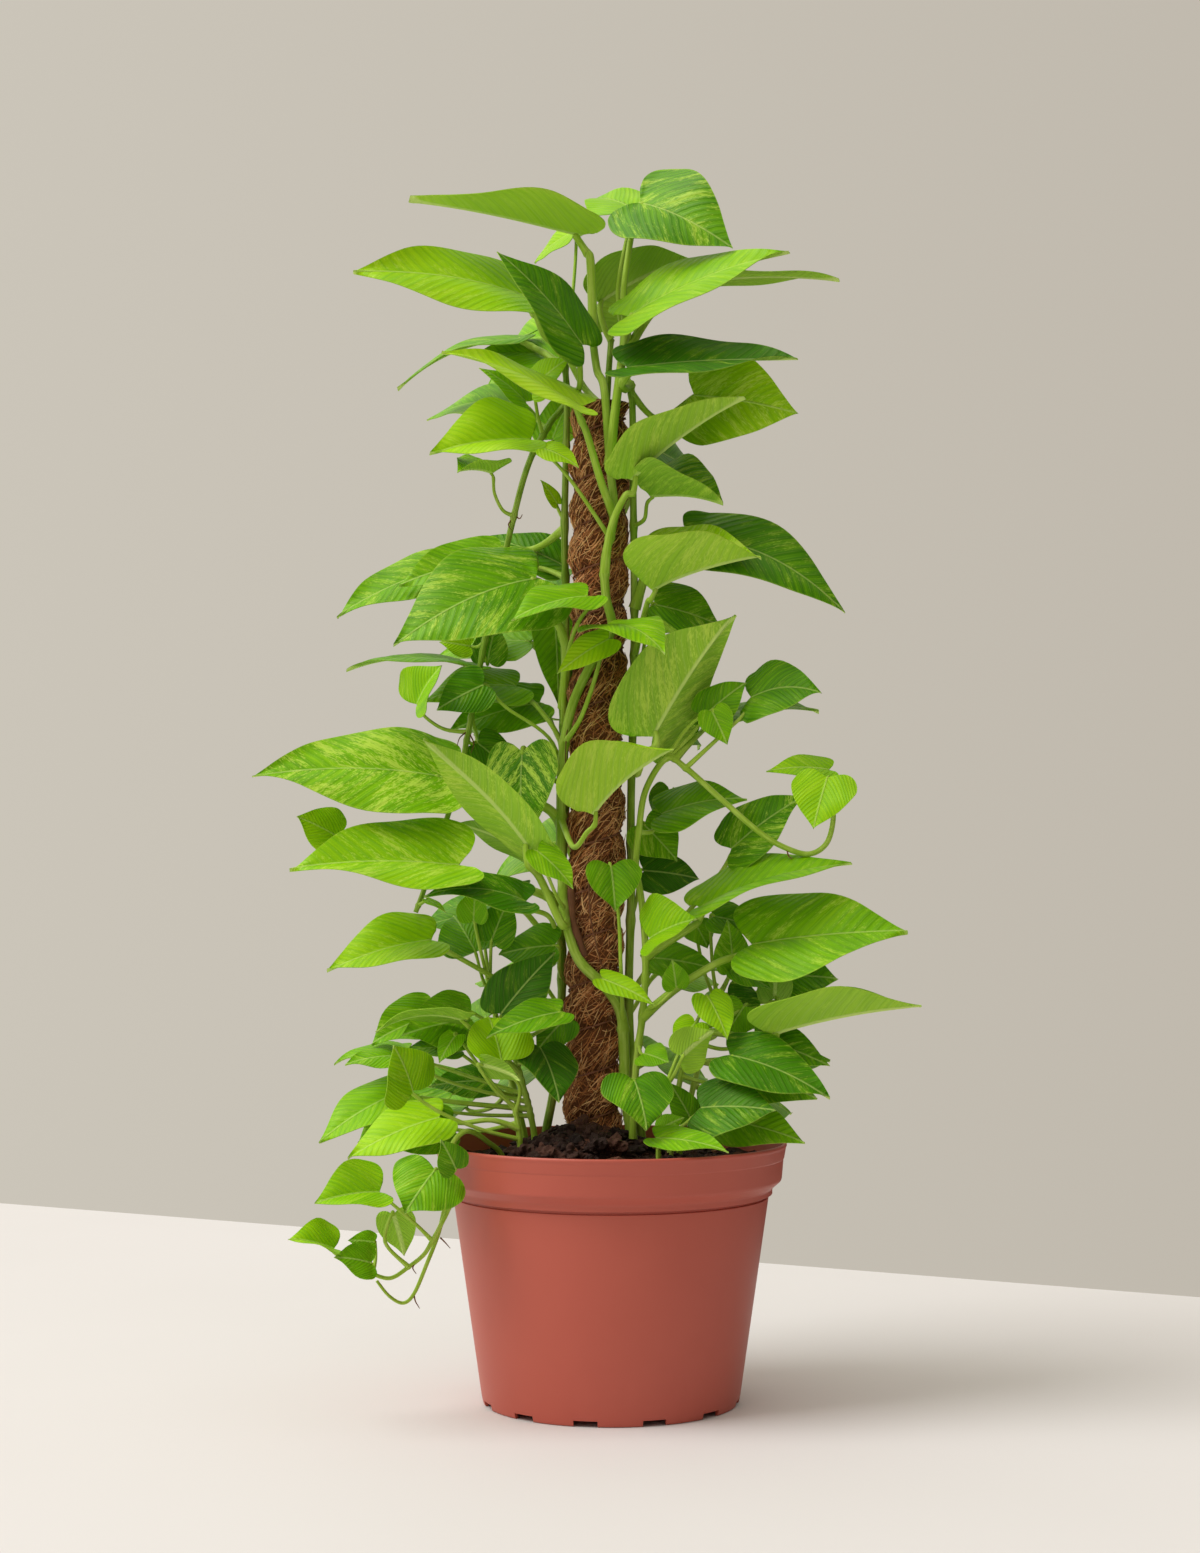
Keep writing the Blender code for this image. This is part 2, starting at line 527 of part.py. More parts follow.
             at(-13.3, 9.8, -6.8), at(-14.2, 7.7, -6.6), at(-15.0, 7.0, -6.6),
             at(-16.0, 7.5, -6.8), at(-16.9, 8.6, -7.0)],
        ],
        "leaves": [
            leaf(8, (-16.7, 15.0, -9.6), (-21.4, 14.2, -11.2), 4.6, 42, fold=34,
                 via=((-14.0, 12.6, -9.0), (-15.6, 14.0, -9.4))),
            leaf(14, (-20.0, 10.9, -9.6), (-23.3, 11.6, -10.8), 3.6, 56, fold=36),
            leaf(6.2, (-12.7, 16.6, -10.0), (-14.9, 13.4, -11.6), 5.4, 16, cup=0.5,
                 via=((-12.2, 15.2, -9.6),)),
            leaf(5.2, (-11.2, 16.2, -9.8), (-12.3, 18.3, -10.6), 2.4, 16),
            leaf(10, (-15.7, 13.4, -8.4), (-14.9, 10.4, -8.0), 2.8, 164, fold=10,
                 via=((-16.3, 11.4, -9.2),)),
            leaf(12, (-17.1, 11.4, -7.8), (-19.0, 11.5, -8.2), 1.6, 20,
                 via=((-17.0, 10.2, -8.4),)),
            leaf(12.4, (-17.3, 9.9, -10.2), (-20.0, 10.3, -11.4), 2.9, 30),
        ],
    },
    "vine_back": {
        "radius": 0.34,
        "routes": [planted_by_pole(165) + [
            on_pole(172, 23, 2.9), on_pole(168, 30), on_pole(176, 38), on_pole(166, 46),
            on_pole(174, 54), on_pole(166, 62), on_pole(172, 69), at(-0.2, 73.5, 2.4),
            at(0.0, 76.5, 2.8)]],
        "leaves": [
            leaf(10, (-0.9, 79.2, 3.2), (5.8, 82.4, 6.0), 6.8, 136, arch=0.05),
        ],
    },
    "shoot_left_front": {
        "radius": 0.24,
        "routes": [planted(-6.3, -5.6) + [at(-6.7, 19.6, -5.7), at(-7.0, 21.2, -5.6)]],
        "leaves": [
            leaf(2.0, (-12.4, 20.4, -6.2), (-19.0, 17.4, -8.0), 4.8, 44, arch=0.06,
                 via=((-8.6, 20.2, -6.2), (-10.6, 20.0, -6.3))),
            leaf(1.6, (-14.3, 22.3, -8.6), (-15.7, 25.6, -10.4), 4.8, 30,
                 via=((-9.6, 19.6, -7.0), (-12.6, 20.9, -8.2))),
            leaf(2.6, (-7.9, 24.5, -6.2), (-8.9, 27.8, -3.6), 4.8, 20, fold=30,
                 via=((-6.6, 22.6, -6.0),)),
            leaf(3.0, (-9.3, 24.2, -7.2), (-6.5, 23.1, -8.2), 1.9, 140,
                 via=((-8.4, 22.4, -6.6),)),
            leaf(2.2, (-11.8, 19.7, -3.8), (-17.4, 18.7, -5.2), 3.9, 20,
                 via=((-9.4, 19.4, -4.6),)),
            leaf(2.8, (-11.2, 26.3, -5.2), (-12.4, 24.3, -6.2), 1.9, 30,
                 via=((-9.0, 23.4, -5.4),)),
        ],
    },
    "shoot_left_mid": {
        "radius": 0.26,
        "routes": [planted(-5.4, -2.6) + [at(-5.9, 21.0, -2.6), at(-6.6, 23.6, -2.4),
                                          at(-7.4, 26.2, -2.0)]],
        "leaves": [
            leaf(4, (-12.9, 27.7, -1.4), (-17.3, 25.7, -3.2), 4.6, 40, fold=24,
                 via=((-10.6, 28.2, -0.8),)),
            leaf(3.4, (-10.3, 27.5, -3.0), (-15.1, 26.3, -4.6), 4.9, 26),
            leaf(3.0, (-10.6, 26.4, -4.6), (-17.0, 25.6, -6.0), 3.6, 104, arch=0.12,
                 via=((-8.8, 25.4, -3.6),)),
            leaf(2.8, (-11.2, 25.4, -3.4), (-15.3, 25.0, -4.2), 2.8, 56),
            leaf(2.4, (-14.8, 25.2, -1.2), (-20.0, 24.2, -2.4), 3.0, 68, arch=0.10,
                 via=((-10.4, 23.4, -1.4),)),
            leaf(2.2, (-15.5, 24.8, -3.0), (-19.2, 24.2, -4.2), 2.8, 54,
                 via=((-11.2, 22.8, -2.2),)),
            leaf(2.0, (-15.2, 22.2, -3.4), (-21.1, 18.6, -5.8), 4.8, 46,
                 via=((-10.4, 21.4, -2.8),)),
            leaf(1.8, (-14.5, 21.2, -1.8), (-18.3, 18.6, -2.8), 2.9, 38,
                 via=((-9.8, 20.6, -1.8),)),
            leaf(3.8, (-7.9, 27.9, -4.2), (-4.0, 32.3, -3.6), 4.6, 22,
                 via=((-7.9, 26.6, -3.2),)),
            leaf(3.2, (-5.1, 25.4, -4.4), (-3.7, 21.5, -7.4), 4.8, 34),
            leaf(3.5, (-3.7, 28.0, -3.6), (-9.0, 26.1, -5.4), 3.5, 48, fold=18,
                 via=((-5.8, 26.2, -2.6),)),
        ],
    },
    "shoot_left_back": {
        "radius": 0.26,
        "routes": [planted(-6.2, 2.2) + [at(-6.9, 22.0, 2.3), at(-8.0, 26.0, 2.2),
                                         at(-8.6, 29.4, 1.6)]],
        "leaves": [
            leaf(4, (-9.8, 32.4, -0.4), (-11.4, 35.0, 2.6), 4.8, 18),
            leaf(3.9, (-8.6, 33.2, 0.0), (-7.3, 36.3, 1.0), 3.0, 10),
            leaf(3.8, (-9.9, 34.6, -2.2), (-9.7, 37.0, -2.0), 2.4, 20, fold=30,
                 via=((-9.4, 32.4, -1.8),)),
            leaf(3.4, (-9.7, 34.9, 3.2), (-13.6, 34.1, 3.6), 3.0, 54),
            leaf(3.0, (-3.3, 27.5, -1.4), (-5.4, 25.1, -1.8), 3.0, 20,
                 via=((-5.6, 26.4, 0.4),)),
            leaf(2.6, (-11.8, 22.6, 4.0), (-17.6, 22.4, 6.4), 4.8, 50),
            leaf(2.2, (-10.4, 21.2, 6.6), (-14.4, 20.2, 11.0), 4.8, 64),
            leaf(3.2, (-9.0, 27.6, 6.6), (-12.4, 27.0, 12.0), 5.2, 66),
            leaf(2.0, (-8.8, 23.0, 0.6), (-13.2, 22.6, 0.2), 3.0, 34),
        ],
    },
    "shoot_right_front": {
        "radius": 0.22,
        "routes": [planted(3.3, -6.4) + [at(3.5, 20.6, -6.5), at(3.9, 22.6, -6.4)]],
        "leaves": [
            leaf(1.8, (1.7, 23.1, -8.8), (2.6, 19.5, -11.0), 5.2, 22,
                 via=((2.6, 22.6, -7.4),)),
            leaf(1.4, (3.3, 18.9, -9.6), (8.5, 17.9, -11.6), 2.9, 54),
            leaf(1.9, (6.5, 21.1, -7.4), (11.9, 20.9, -9.6), 5.2, 32,
                 via=((4.8, 19.6, -7.2),)),
            leaf(3.0, (5.1, 24.8, -7.8), (7.4, 26.7, -6.4), 3.3, 160),
            leaf(1.7, (3.5, 19.5, -7.4), (5.3, 20.4, -8.4), 1.7, 24),
            leaf(2.8, (6.1, 27.2, -7.2), (4.6, 25.3, -8.6), 2.5, 20,
                 via=((4.9, 25.0, -6.4),)),
        ],
    },
    "shoot_right_mid": {
        "radius": 0.26,
        "routes": [planted(4.2, -2.6) + [at(4.6, 21.0, -2.7), at(5.2, 24.0, -2.9),
                                         at(6.0, 27.0, -3.0)]],
        "leaves": [
            leaf(2.2, (7.7, 20.3, -5.2), (14.0, 18.6, -7.4), 4.2, 32),
            leaf(2.8, (9.7, 23.4, -4.6), (14.9, 21.8, -6.2), 4.0, 26),
            leaf(3.0, (8.6, 24.9, -5.8), (15.8, 21.7, -8.0), 5.2, 38, arch=0.09,
                 via=((6.4, 24.4, -4.4),)),
            leaf(3.6, (10.6, 26.0, -3.2), (15.8, 24.1, -4.8), 3.7, 34),
            leaf(3.8, (11.6, 26.4, -4.2), (22.4, 28.5, -6.2), 6.0, 92, arch=0.03, fold=40, cup=0.1,
                 via=((8.4, 26.4, -3.6),)),
            leaf(4.0, (7.0, 29.1, -5.0), (8.4, 26.0, -6.8), 2.9, 26),
            leaf(3.9, (9.6, 28.4, -2.6), (8.2, 26.2, -2.2), 3.0, 10),
            leaf(2.4, (5.7, 20.4, -4.6), (4.2, 22.9, -4.2), 2.2, 20),
        ],
    },
    "shoot_right_back": {
        "radius": 0.26,
        "routes": [planted(5.0, 2.0) + [at(5.8, 22.0, 2.0), at(6.8, 26.0, 1.6),
                                        at(7.6, 29.4, 0.8)]],
        "leaves": [
            leaf(4, (7.4, 34.9, -0.4), (10.8, 33.9, -0.6), 3.0, 36),
            leaf(3.9, (8.8, 31.2, -0.8), (8.4, 34.7, -1.2), 2.8, 18),
            leaf(3.7, (8.9, 31.0, -1.6), (11.6, 29.6, -2.4), 2.0, 36),
            leaf(3.8, (6.1, 34.3, 0.6), (7.0, 32.6, 0.2), 2.4, 20),
            leaf(3.6, (11.8, 29.0, -1.4), (12.2, 32.2, -1.8), 2.9, 150,
                 via=((9.6, 28.6, -0.4),)),
            leaf(3.4, (12.0, 30.6, 0.6), (16.4, 30.4, 0.2), 4.4, 22,
                 via=((9.4, 28.6, 1.0),)),
            leaf(3.2, (8.4, 29.2, -0.2), (11.0, 27.4, -0.8), 3.2, 20),
            leaf(2.6, (10.4, 25.0, 4.0), (15.8, 24.4, 6.4), 5.0, 52),
            leaf(2.2, (9.0, 22.0, 6.0), (13.0, 20.6, 10.4), 5.0, 64),
            leaf(3.0, (8.4, 28.0, 6.0), (11.6, 27.4, 11.4), 5.4, 66),
        ],
    },
    "shoot_back": {
        "radius": 0.26,
        "routes": [planted(-1.0, 6.2) + [at(-1.2, 22.0, 6.6), at(-1.0, 26.0, 7.0)]],
        "leaves": [
            leaf(2.2, (-4.8, 24.0, 9.6), (-8.6, 22.4, 14.6), 5.4, 66),
            leaf(2.4, (3.0, 24.6, 9.8), (7.0, 23.0, 14.8), 5.4, 66),
            leaf(2.7, (-1.4, 28.6, 10.4), (-1.8, 27.4, 17.4), 6.0, 70),
            leaf(2.0, (-1.0, 21.6, 9.4), (0.4, 19.6, 14.6), 4.8, 70),
            leaf(3.0, (-5.4, 30.6, 8.6), (-9.8, 30.0, 13.4), 5.2, 64),
            leaf(3.0, (3.4, 30.8, 8.8), (7.8, 30.0, 13.8), 5.2, 64),
        ],
    },
}

# Steps by which a leaf may be bent back or up to settle clear of the others
SETTLE_STEP = 0.5
SHIFTS = 14
LIFTS = 3
LIFT_COST = 2.2
GUARD_SPARE = 0.15
GUARD_SIDES = 12

# Leaves on the far side of the climbing stem, spread by a rule
BACK_LEAF_COUNT = 10
BACK_LEAF_LOWEST = 30.0
BACK_LEAF_HIGHEST = 72.0
BACK_LEAF_SPREAD = 110.0
BACK_LEAF_SEED = 11
GOLDEN_ANGLE = 137.5


def back_leaves(route):
    """Leaves round the rear half of the plant, turned by the golden angle as they climb."""
    draw = random.Random(BACK_LEAF_SEED)
    rows = []
    for index in range(BACK_LEAF_COUNT):
        share = index / (BACK_LEAF_COUNT - 1)
        height = BACK_LEAF_LOWEST + (BACK_LEAF_HIGHEST - BACK_LEAF_LOWEST) * share
        swing = (index * GOLDEN_ANGLE) % BACK_LEAF_SPREAD - BACK_LEAF_SPREAD / 2.0
        turn = math.radians(swing)
        length = draw.uniform(7.5, 10.5)
        reach = draw.uniform(6.0, 8.5)
        across = -1.0 + reach * math.sin(turn)
        depth = reach * math.cos(turn)
        base = (across, height + draw.uniform(4.0, 6.0), depth)
        tip = (across + length * math.sin(turn), base[1] - draw.uniform(1.0, 4.0),
               depth + length * math.cos(turn))
        root = nearest_place(route, height)
        rows.append(leaf(root, base, tip, BLADE_SHARE * length, draw.uniform(58.0, 74.0), arch=0.08))
    return rows


def nearest_place(route, height):
    """Place along a route that climbs through a height."""
    steps = 20
    places = [index / steps for index in range((len(route) - 1) * steps + 1)]
    return min(places, key=lambda place: abs(spline(route, place).z - height * CM))


def grown_leaves():
    """Every leaf with its stem's name and route, front leaves first."""
    rows = []
    for name, vine in VINES.items():
        rows.extend((name, row) for row in vine["leaves"])
    rows.extend(("vine_back", row) for row in back_leaves(VINES["vine_back"]["routes"][0]))
    return rows


def stem_tubes(vine):
    """The stems of one vine; a branch leaves the first one."""
    tubes = []
    for index, path in enumerate(vine["routes"]):
        thick = vine["radius"] * CM * (1.0 if index == 0 else BRANCH_SHARE)
        last = len(path) - 1
        radii = [thick * (1.0 - STEM_TAPER * step / last) for step in range(len(path))]
        tubes.append(tube(path, radii, STEM_SIDES))
    return tubes


def bounds(vertices):
    """Lowest and highest corner of a list of points."""
    low = Vector((min(point[axis] for point in vertices) for axis in range(3)))
    high = Vector((max(point[axis] for point in vertices) for axis in range(3)))
    return low, high


def obstacle(vine_name, kind, solid):
    """A solid that later leaves have to keep clear of."""
    vertices, faces = solid
    return vine_name, kind, bounds(vertices), BVHTree.FromPolygons(vertices, faces)


def meets(solid, things, skipped):
    """How many of the things a solid's surface cuts, leaving out those that skipped names."""
    vertices, faces = solid
    low, high = bounds(vertices)
    tree = None
    count = 0
    for vine_name, kind, (other_low, other_high), other in things:
        if skipped(vine_name, kind):
            continue
        if any(low[axis] > other_high[axis] or high[axis] < other_low[axis] for axis in range(3)):
            continue
        tree = tree or BVHTree.FromPolygons(vertices, faces)
        count += 1 if tree.overlap(other) else 0
    return count


def clearances():
    """Shifts along the line of sight and lifts to try, the smallest first."""
    tries = []
    for back in range(-SHIFTS, SHIFTS + 1):
        for up in range(-LIFTS, LIFTS + 1):
            shift = back * SETTLE_STEP
            lift = up * SETTLE_STEP
            tries.append((abs(shift) + LIFT_COST * abs(lift), shift, lift))
    return [(shift, lift) for _, shift, lift in sorted(tries)]


def settle_leaves():
    """Bend every leaf clear of the stems, the pole, the pot and the leaves before it."""
    things = [obstacle("", "stem", solid) for solid in (pole_guard(), pot_guard())]
    for name, vine in VINES.items():
        things.extend(obstacle(name, "stem", solid) for solid in stem_tubes(vine))
    settled = {name: [] for name in VINES}
    for name, row in grown_leaves():
        route = VINES[name]["routes"][0]
        best = None
        for shift, lift in clearances():
            shape, stalk = placed(row, route, shift, lift)
            length = shape["axes"][0]
            thick = blade(shape, blade_rows(length), BLADE_COLUMNS, TEST_THICKNESS)
            hits = meets(thick, things, lambda vine_name, kind: False)
            stem = stalk_tube(stalk, length, STALK_SPARE * CM)
            hits += meets(stem, things, lambda vine_name, kind: vine_name == name and kind != "blade")
            if best is None or hits < best[0]:
                best = (hits, shape, stalk)
            if hits == 0:
                break
        _, shape, stalk = best
        settled[name].append((shape, stalk))
        length = shape["axes"][0]
        solid = blade(shape, blade_rows(length), BLADE_COLUMNS, BLADE_THICKNESS)
        things.append(obstacle(name, "blade", solid))
        things.append(obstacle(name, "stalk", stalk_tube(stalk, length)))
    return settled


def pole_guard():
    """Plain cylinder round the pole that leaves keep clear of."""
    path = [Vector((pole_across(height), 0.0, height)) * CM for height in (POLE_FOOT, POLE_TOP)]
    reach = (POLE_RADIUS + GUARD_SPARE) * CM
    return tube(path, [reach, reach], GUARD_SIDES)


def pot_guard():
    """Plain cylinder of the pot, its mix included, that leaves keep clear of."""
    path = [Vector((0.0, 0.0, height)) * CM for height in (0.5, POT_HEIGHT + 0.1)]
    foot_reach = (POT_FOOT_RADIUS + 2.0 * GUARD_SPARE) * CM
    return tube(path, [foot_reach, (POT_RIM_RADIUS + 0.2) * CM], 2 * GUARD_SIDES)


def material(name, colour, roughness, coat=0.0):
    """Principled material in a flat colour."""
    made = bpy.data.materials.new(name)
    made.use_nodes = True
    shader = made.node_tree.nodes["Principled BSDF"]
    shader.inputs["Base Color"].default_value = (*colour, 1.0)
    shader.inputs["Roughness"].default_value = roughness
    shader.inputs["Coat Weight"].default_value = coat
    return made


def add_object(name, vertices, faces, finish):
    """Object from vertices and faces, with its faces pointing out."""
    mesh = bpy.data.meshes.new(name)
    mesh.from_pydata([tuple(point) for point in vertices], [], faces)
    mesh.materials.append(finish)
    shell = bmesh.new()
    shell.from_mesh(mesh)
    bmesh.ops.recalc_face_normals(shell, faces=shell.faces)
    if shell.calc_volume(signed=True) < 0.0:
        bmesh.ops.reverse_faces(shell, faces=shell.faces)
    shell.to_mesh(mesh)
    shell.free()
    made = bpy.data.objects.new(name, mesh)
    bpy.context.scene.collection.objects.link(made)
    return made


def apply_modifiers(target):
    """Replace an object's mesh by what its modifiers make of it."""
    graph = bpy.context.evaluated_depsgraph_get()
    result = bpy.data.meshes.new_from_object(target.evaluated_get(graph))
    target.modifiers.clear()
    target.data = result


def combine(target, others, operation, solver):
    """One Boolean of a target and a collection of others, applied, and the others removed."""
    group = bpy.data.collections.new(target.name + "_operands")
    bpy.context.scene.collection.children.link(group)
    for other in others:
        bpy.context.scene.collection.objects.unlink(other)
        group.objects.link(other)
    boolean = target.modifiers.new("combine", "BOOLEAN")
    boolean.operation = operation
    boolean.operand_type = "COLLECTION"
    boolean.collection = group
    boolean.solver = solver
    apply_modifiers(target)
    for other in others:
        bpy.data.objects.remove(other)
    bpy.data.collections.remove(group)


def turned(profile, segments):
    """Vertices and faces of a closed profile turned round the Z axis."""
    vertices = []
    rings = []
    for radius, height in profile:
        if radius == 0.0:
            rings.append([len(vertices)] * segments)
            vertices.append(Vector((0.0, 0.0, height)) * CM)
            continue
        ring = []
        for step in range(segments):
            turn = 2.0 * math.pi * step / segments
            ring.append(len(vertices))
            vertices.append(Vector((radius * math.cos(turn), radius * math.sin(turn), height)) * CM)
        rings.append(ring)
    faces = []
    for lower, upper in zip(rings, rings[1:]):
        for step in range(segments):
            following = (step + 1) % segments
            corners = [lower[step], lower[following], upper[following], upper[step]]
            faces.append(tuple(dict.fromkeys(corners)))
    return vertices, faces


def pot_profile():
    """Half section of the pot from the middle of its base, out, up and back in."""
    wall = POT_WALL
    outer = [
        (POT_FOOT_RADIUS, 0.0),
        (POT_FOOT_RADIUS + 0.12, 0.5),
        (POT_SHOULDER_RADIUS, POT_SHOULDER_HEIGHT - 0.06),
        (POT_LIP_RADIUS, POT_SHOULDER_HEIGHT + 0.04),
        (POT_LIP_RADIUS, POT_LIP_TOP),
        (POT_BAND_RADIUS - 0.05, POT_BAND_BOTTOM - 0.10),
        (POT_BAND_RADIUS, POT_BAND_BOTTOM + 0.05),
        (POT_RIM_RADIUS, POT_HEIGHT - 0.35),
        (POT_RIM_RADIUS + 0.08, POT_HEIGHT - 0.15),
        (POT_RIM_RADIUS, POT_HEIGHT),
    ]
    inner = [
        (POT_RIM_RADIUS - 0.16, POT_HEIGHT),
        (POT_RIM_RADIUS - wall, POT_HEIGHT - 0.2),
        (POT_BAND_RADIUS - wall, POT_BAND_BOTTOM + 0.1),
        (POT_SHOULDER_RADIUS + 0.15 - wall, POT_SHOULDER_HEIGHT + 0.35),
        (POT_SHOULDER_RADIUS - wall, POT_SHOULDER_HEIGHT + 0.05),
        (POT_FOOT_RADIUS + 0.12 - wall, POT_FLOOR_TOP),
        (0.0, POT_FLOOR_TOP),
    ]
    under = [
        (0.0, 0.0),
        (POT_PAD_RADIUS, 0.0),
        (POT_PAD_RADIUS + 0.2, POT_FLOOR_BOTTOM),
        (POT_FOOT_RADIUS - wall, POT_FLOOR_BOTTOM),
        (POT_FOOT_RADIUS - wall, 0.0),
    ]
    return under + outer + inner


def box(name, size, place, angle):
    """Box cutter turned about the Z axis."""
    turn = Matrix.Rotation(math.radians(angle), 4, "Z")
    corners = [(x * size[0] / 2.0, y * size[1] / 2.0, z * size[2] / 2.0)
               for x in (-1, 1) for y in (-1, 1) for z in (-1, 1)]
    vertices = [turn @ (Vector(corner) + Vector(place)) * CM for corner in corners]
    faces = [(0, 1, 3, 2), (4, 6, 7, 5), (0, 4, 5, 1), (2, 3, 7, 6), (0, 2, 6, 4), (1, 5, 7, 3)]
    return add_object(name, vertices, faces, None)


def make_pot():
    """Moulded pot with a castellated foot and drain holes in its raised floor."""
    finish = material("pot_plastic", (0.42, 0.085, 0.055), 0.42)
    vertices, faces = turned(pot_profile(), POT_SEGMENTS)
    pot = add_object("pot", vertices, faces, finish)
    cutters = []
    for index in range(NOTCH_COUNT):
        angle = NOTCH_FIRST_ANGLE + index * 360.0 / NOTCH_COUNT
        size = (NOTCH_DEPTH, NOTCH_WIDTH, 2.0 * NOTCH_HEIGHT)
        cutters.append(box("notch", size, (POT_FOOT_RADIUS, 0.0, 0.0), angle - 90.0))
    for index in range(DRAIN_COUNT):
        turn = 2.0 * math.pi * (index + 0.5) / DRAIN_COUNT
        spot = Vector((DRAIN_CIRCLE * math.cos(turn), DRAIN_CIRCLE * math.sin(turn), 0.0))
        path = [(spot + Vector((0.0, 0.0, height))) * CM for height in (0.2, 1.0)]
        cutters.append(add_object("drain", *tube(path, [DRAIN_RADIUS * CM] * 2, 6), None))
    combine(pot, cutters, "DIFFERENCE", "MANIFOLD")


def soil_side(height):
    """Radius of the potting mix against the pot's wall at a height."""
    inner = [
        (POT_FLOOR_TOP, POT_FOOT_RADIUS + 0.12 - POT_WALL),
        (POT_SHOULDER_HEIGHT + 0.05, POT_SHOULDER_RADIUS - POT_WALL),
        (POT_SHOULDER_HEIGHT + 0.35, POT_SHOULDER_RADIUS + 0.15 - POT_WALL),
        (POT_BAND_BOTTOM + 0.1, POT_BAND_RADIUS - POT_WALL),
        (POT_HEIGHT - 0.2, POT_RIM_RADIUS - POT_WALL),
    ]
    for (low, near), (high, far) in zip(inner, inner[1:]):
        if height <= high:
            share = (height - low) / (high - low)
            return near + (far - near) * share - GAP - 0.03
    return inner[-1][1] - GAP


def make_soil():
    """Potting mix, heaped by the pole, with plain holes for the pole and the stems."""
    finish = material("potting_mix", (0.035, 0.022, 0.016), 0.95)
    segments = POT_SEGMENTS // 2
    levels = [POT_FLOOR_TOP + GAP, POT_SHOULDER_HEIGHT + 0.05, POT_SHOULDER_HEIGHT + 0.35,
              POT_BAND_BOTTOM + 0.1, SOIL_LEVEL - 0.35]
    side = [(soil_side(level) if index else soil_side(level) - 0.02, level)
            for index, level in enumerate(levels)]
    profile = [(0.0, levels[0])] + side + [(radius, SOIL_LEVEL) for radius in SOIL_RINGS]
    vertices, faces = turned(profile + [(0.0, SOIL_LEVEL)], segments)
    for point in vertices:
        if point.z > (SOIL_LEVEL - 0.1) * CM:
            point.z = soil_height(point.x / CM, point.y / CM) * CM
    soil = add_object("soil", vertices, faces, finish)
    cutters = [pole_hole(POLE_FOOT - GAP, POLE_RADIUS + POLE_HOLE_SPARE),
               pole_hole(STAKE_FOOT - GAP, STAKE_RADIUS + STAKE_SPARE)]
    for vine in VINES.values():
        foot = vine["routes"][0][0]
        path = [foot - Vector((0.0, 0.0, GAP * CM)), foot + Vector((0.0, 0.0, 8.0 * CM))]
        reach = (vine["radius"] + STEM_HOLE_SPARE) * CM
        cutters.append(add_object("stem_hole", *tube(path, [reach, reach], 6), None))
    combine(soil, cutters, "DIFFERENCE", "MANIFOLD")


def pole_hole(foot, radius):
    """Round cutter along the pole's axis from a height up."""
    path = [Vector((pole_across(height), 0.0, height)) * CM for height in (foot, POLE_HOLE_TOP)]
    hole = tube(path, [radius * CM] * 2, POLE_SIDES)
    return add_object("pole_hole", level_ends(hole[0], POLE_SIDES), hole[1], None)


def level_ends(vertices, sides):
    """Make both end rings of a leaning tube level."""
    for ring in (vertices[:sides], vertices[-sides:]):
        height = sum(point.z for point in ring) / sides
        for point in ring:
            point.z = height
    return vertices


def make_stake():
    """Round wooden stake inside the pole, standing in the mix."""
    finish = material("stake_wood", (0.36, 0.22, 0.11), 0.7)
    path = [Vector((pole_across(height), 0.0, height)) * CM for height in (STAKE_FOOT, STAKE_TOP)]
    vertices, faces = tube(path, [STAKE_RADIUS * CM] * 2, POLE_SIDES)
    add_object("pole_stake", level_ends(vertices, POLE_SIDES), faces, finish)


def helix_point(turns, radius, raised=0.0):
    """Point on the binding's helix round the pole, raised by a share of its pitch."""
    height = POLE_FOOT + (turns + raised) * TWINE_PITCH
    angle = 2.0 * math.pi * turns
    across = pole_across(height) + radius * math.cos(angle)
    return Vector((across, radius * math.sin(angle), height)) * CM


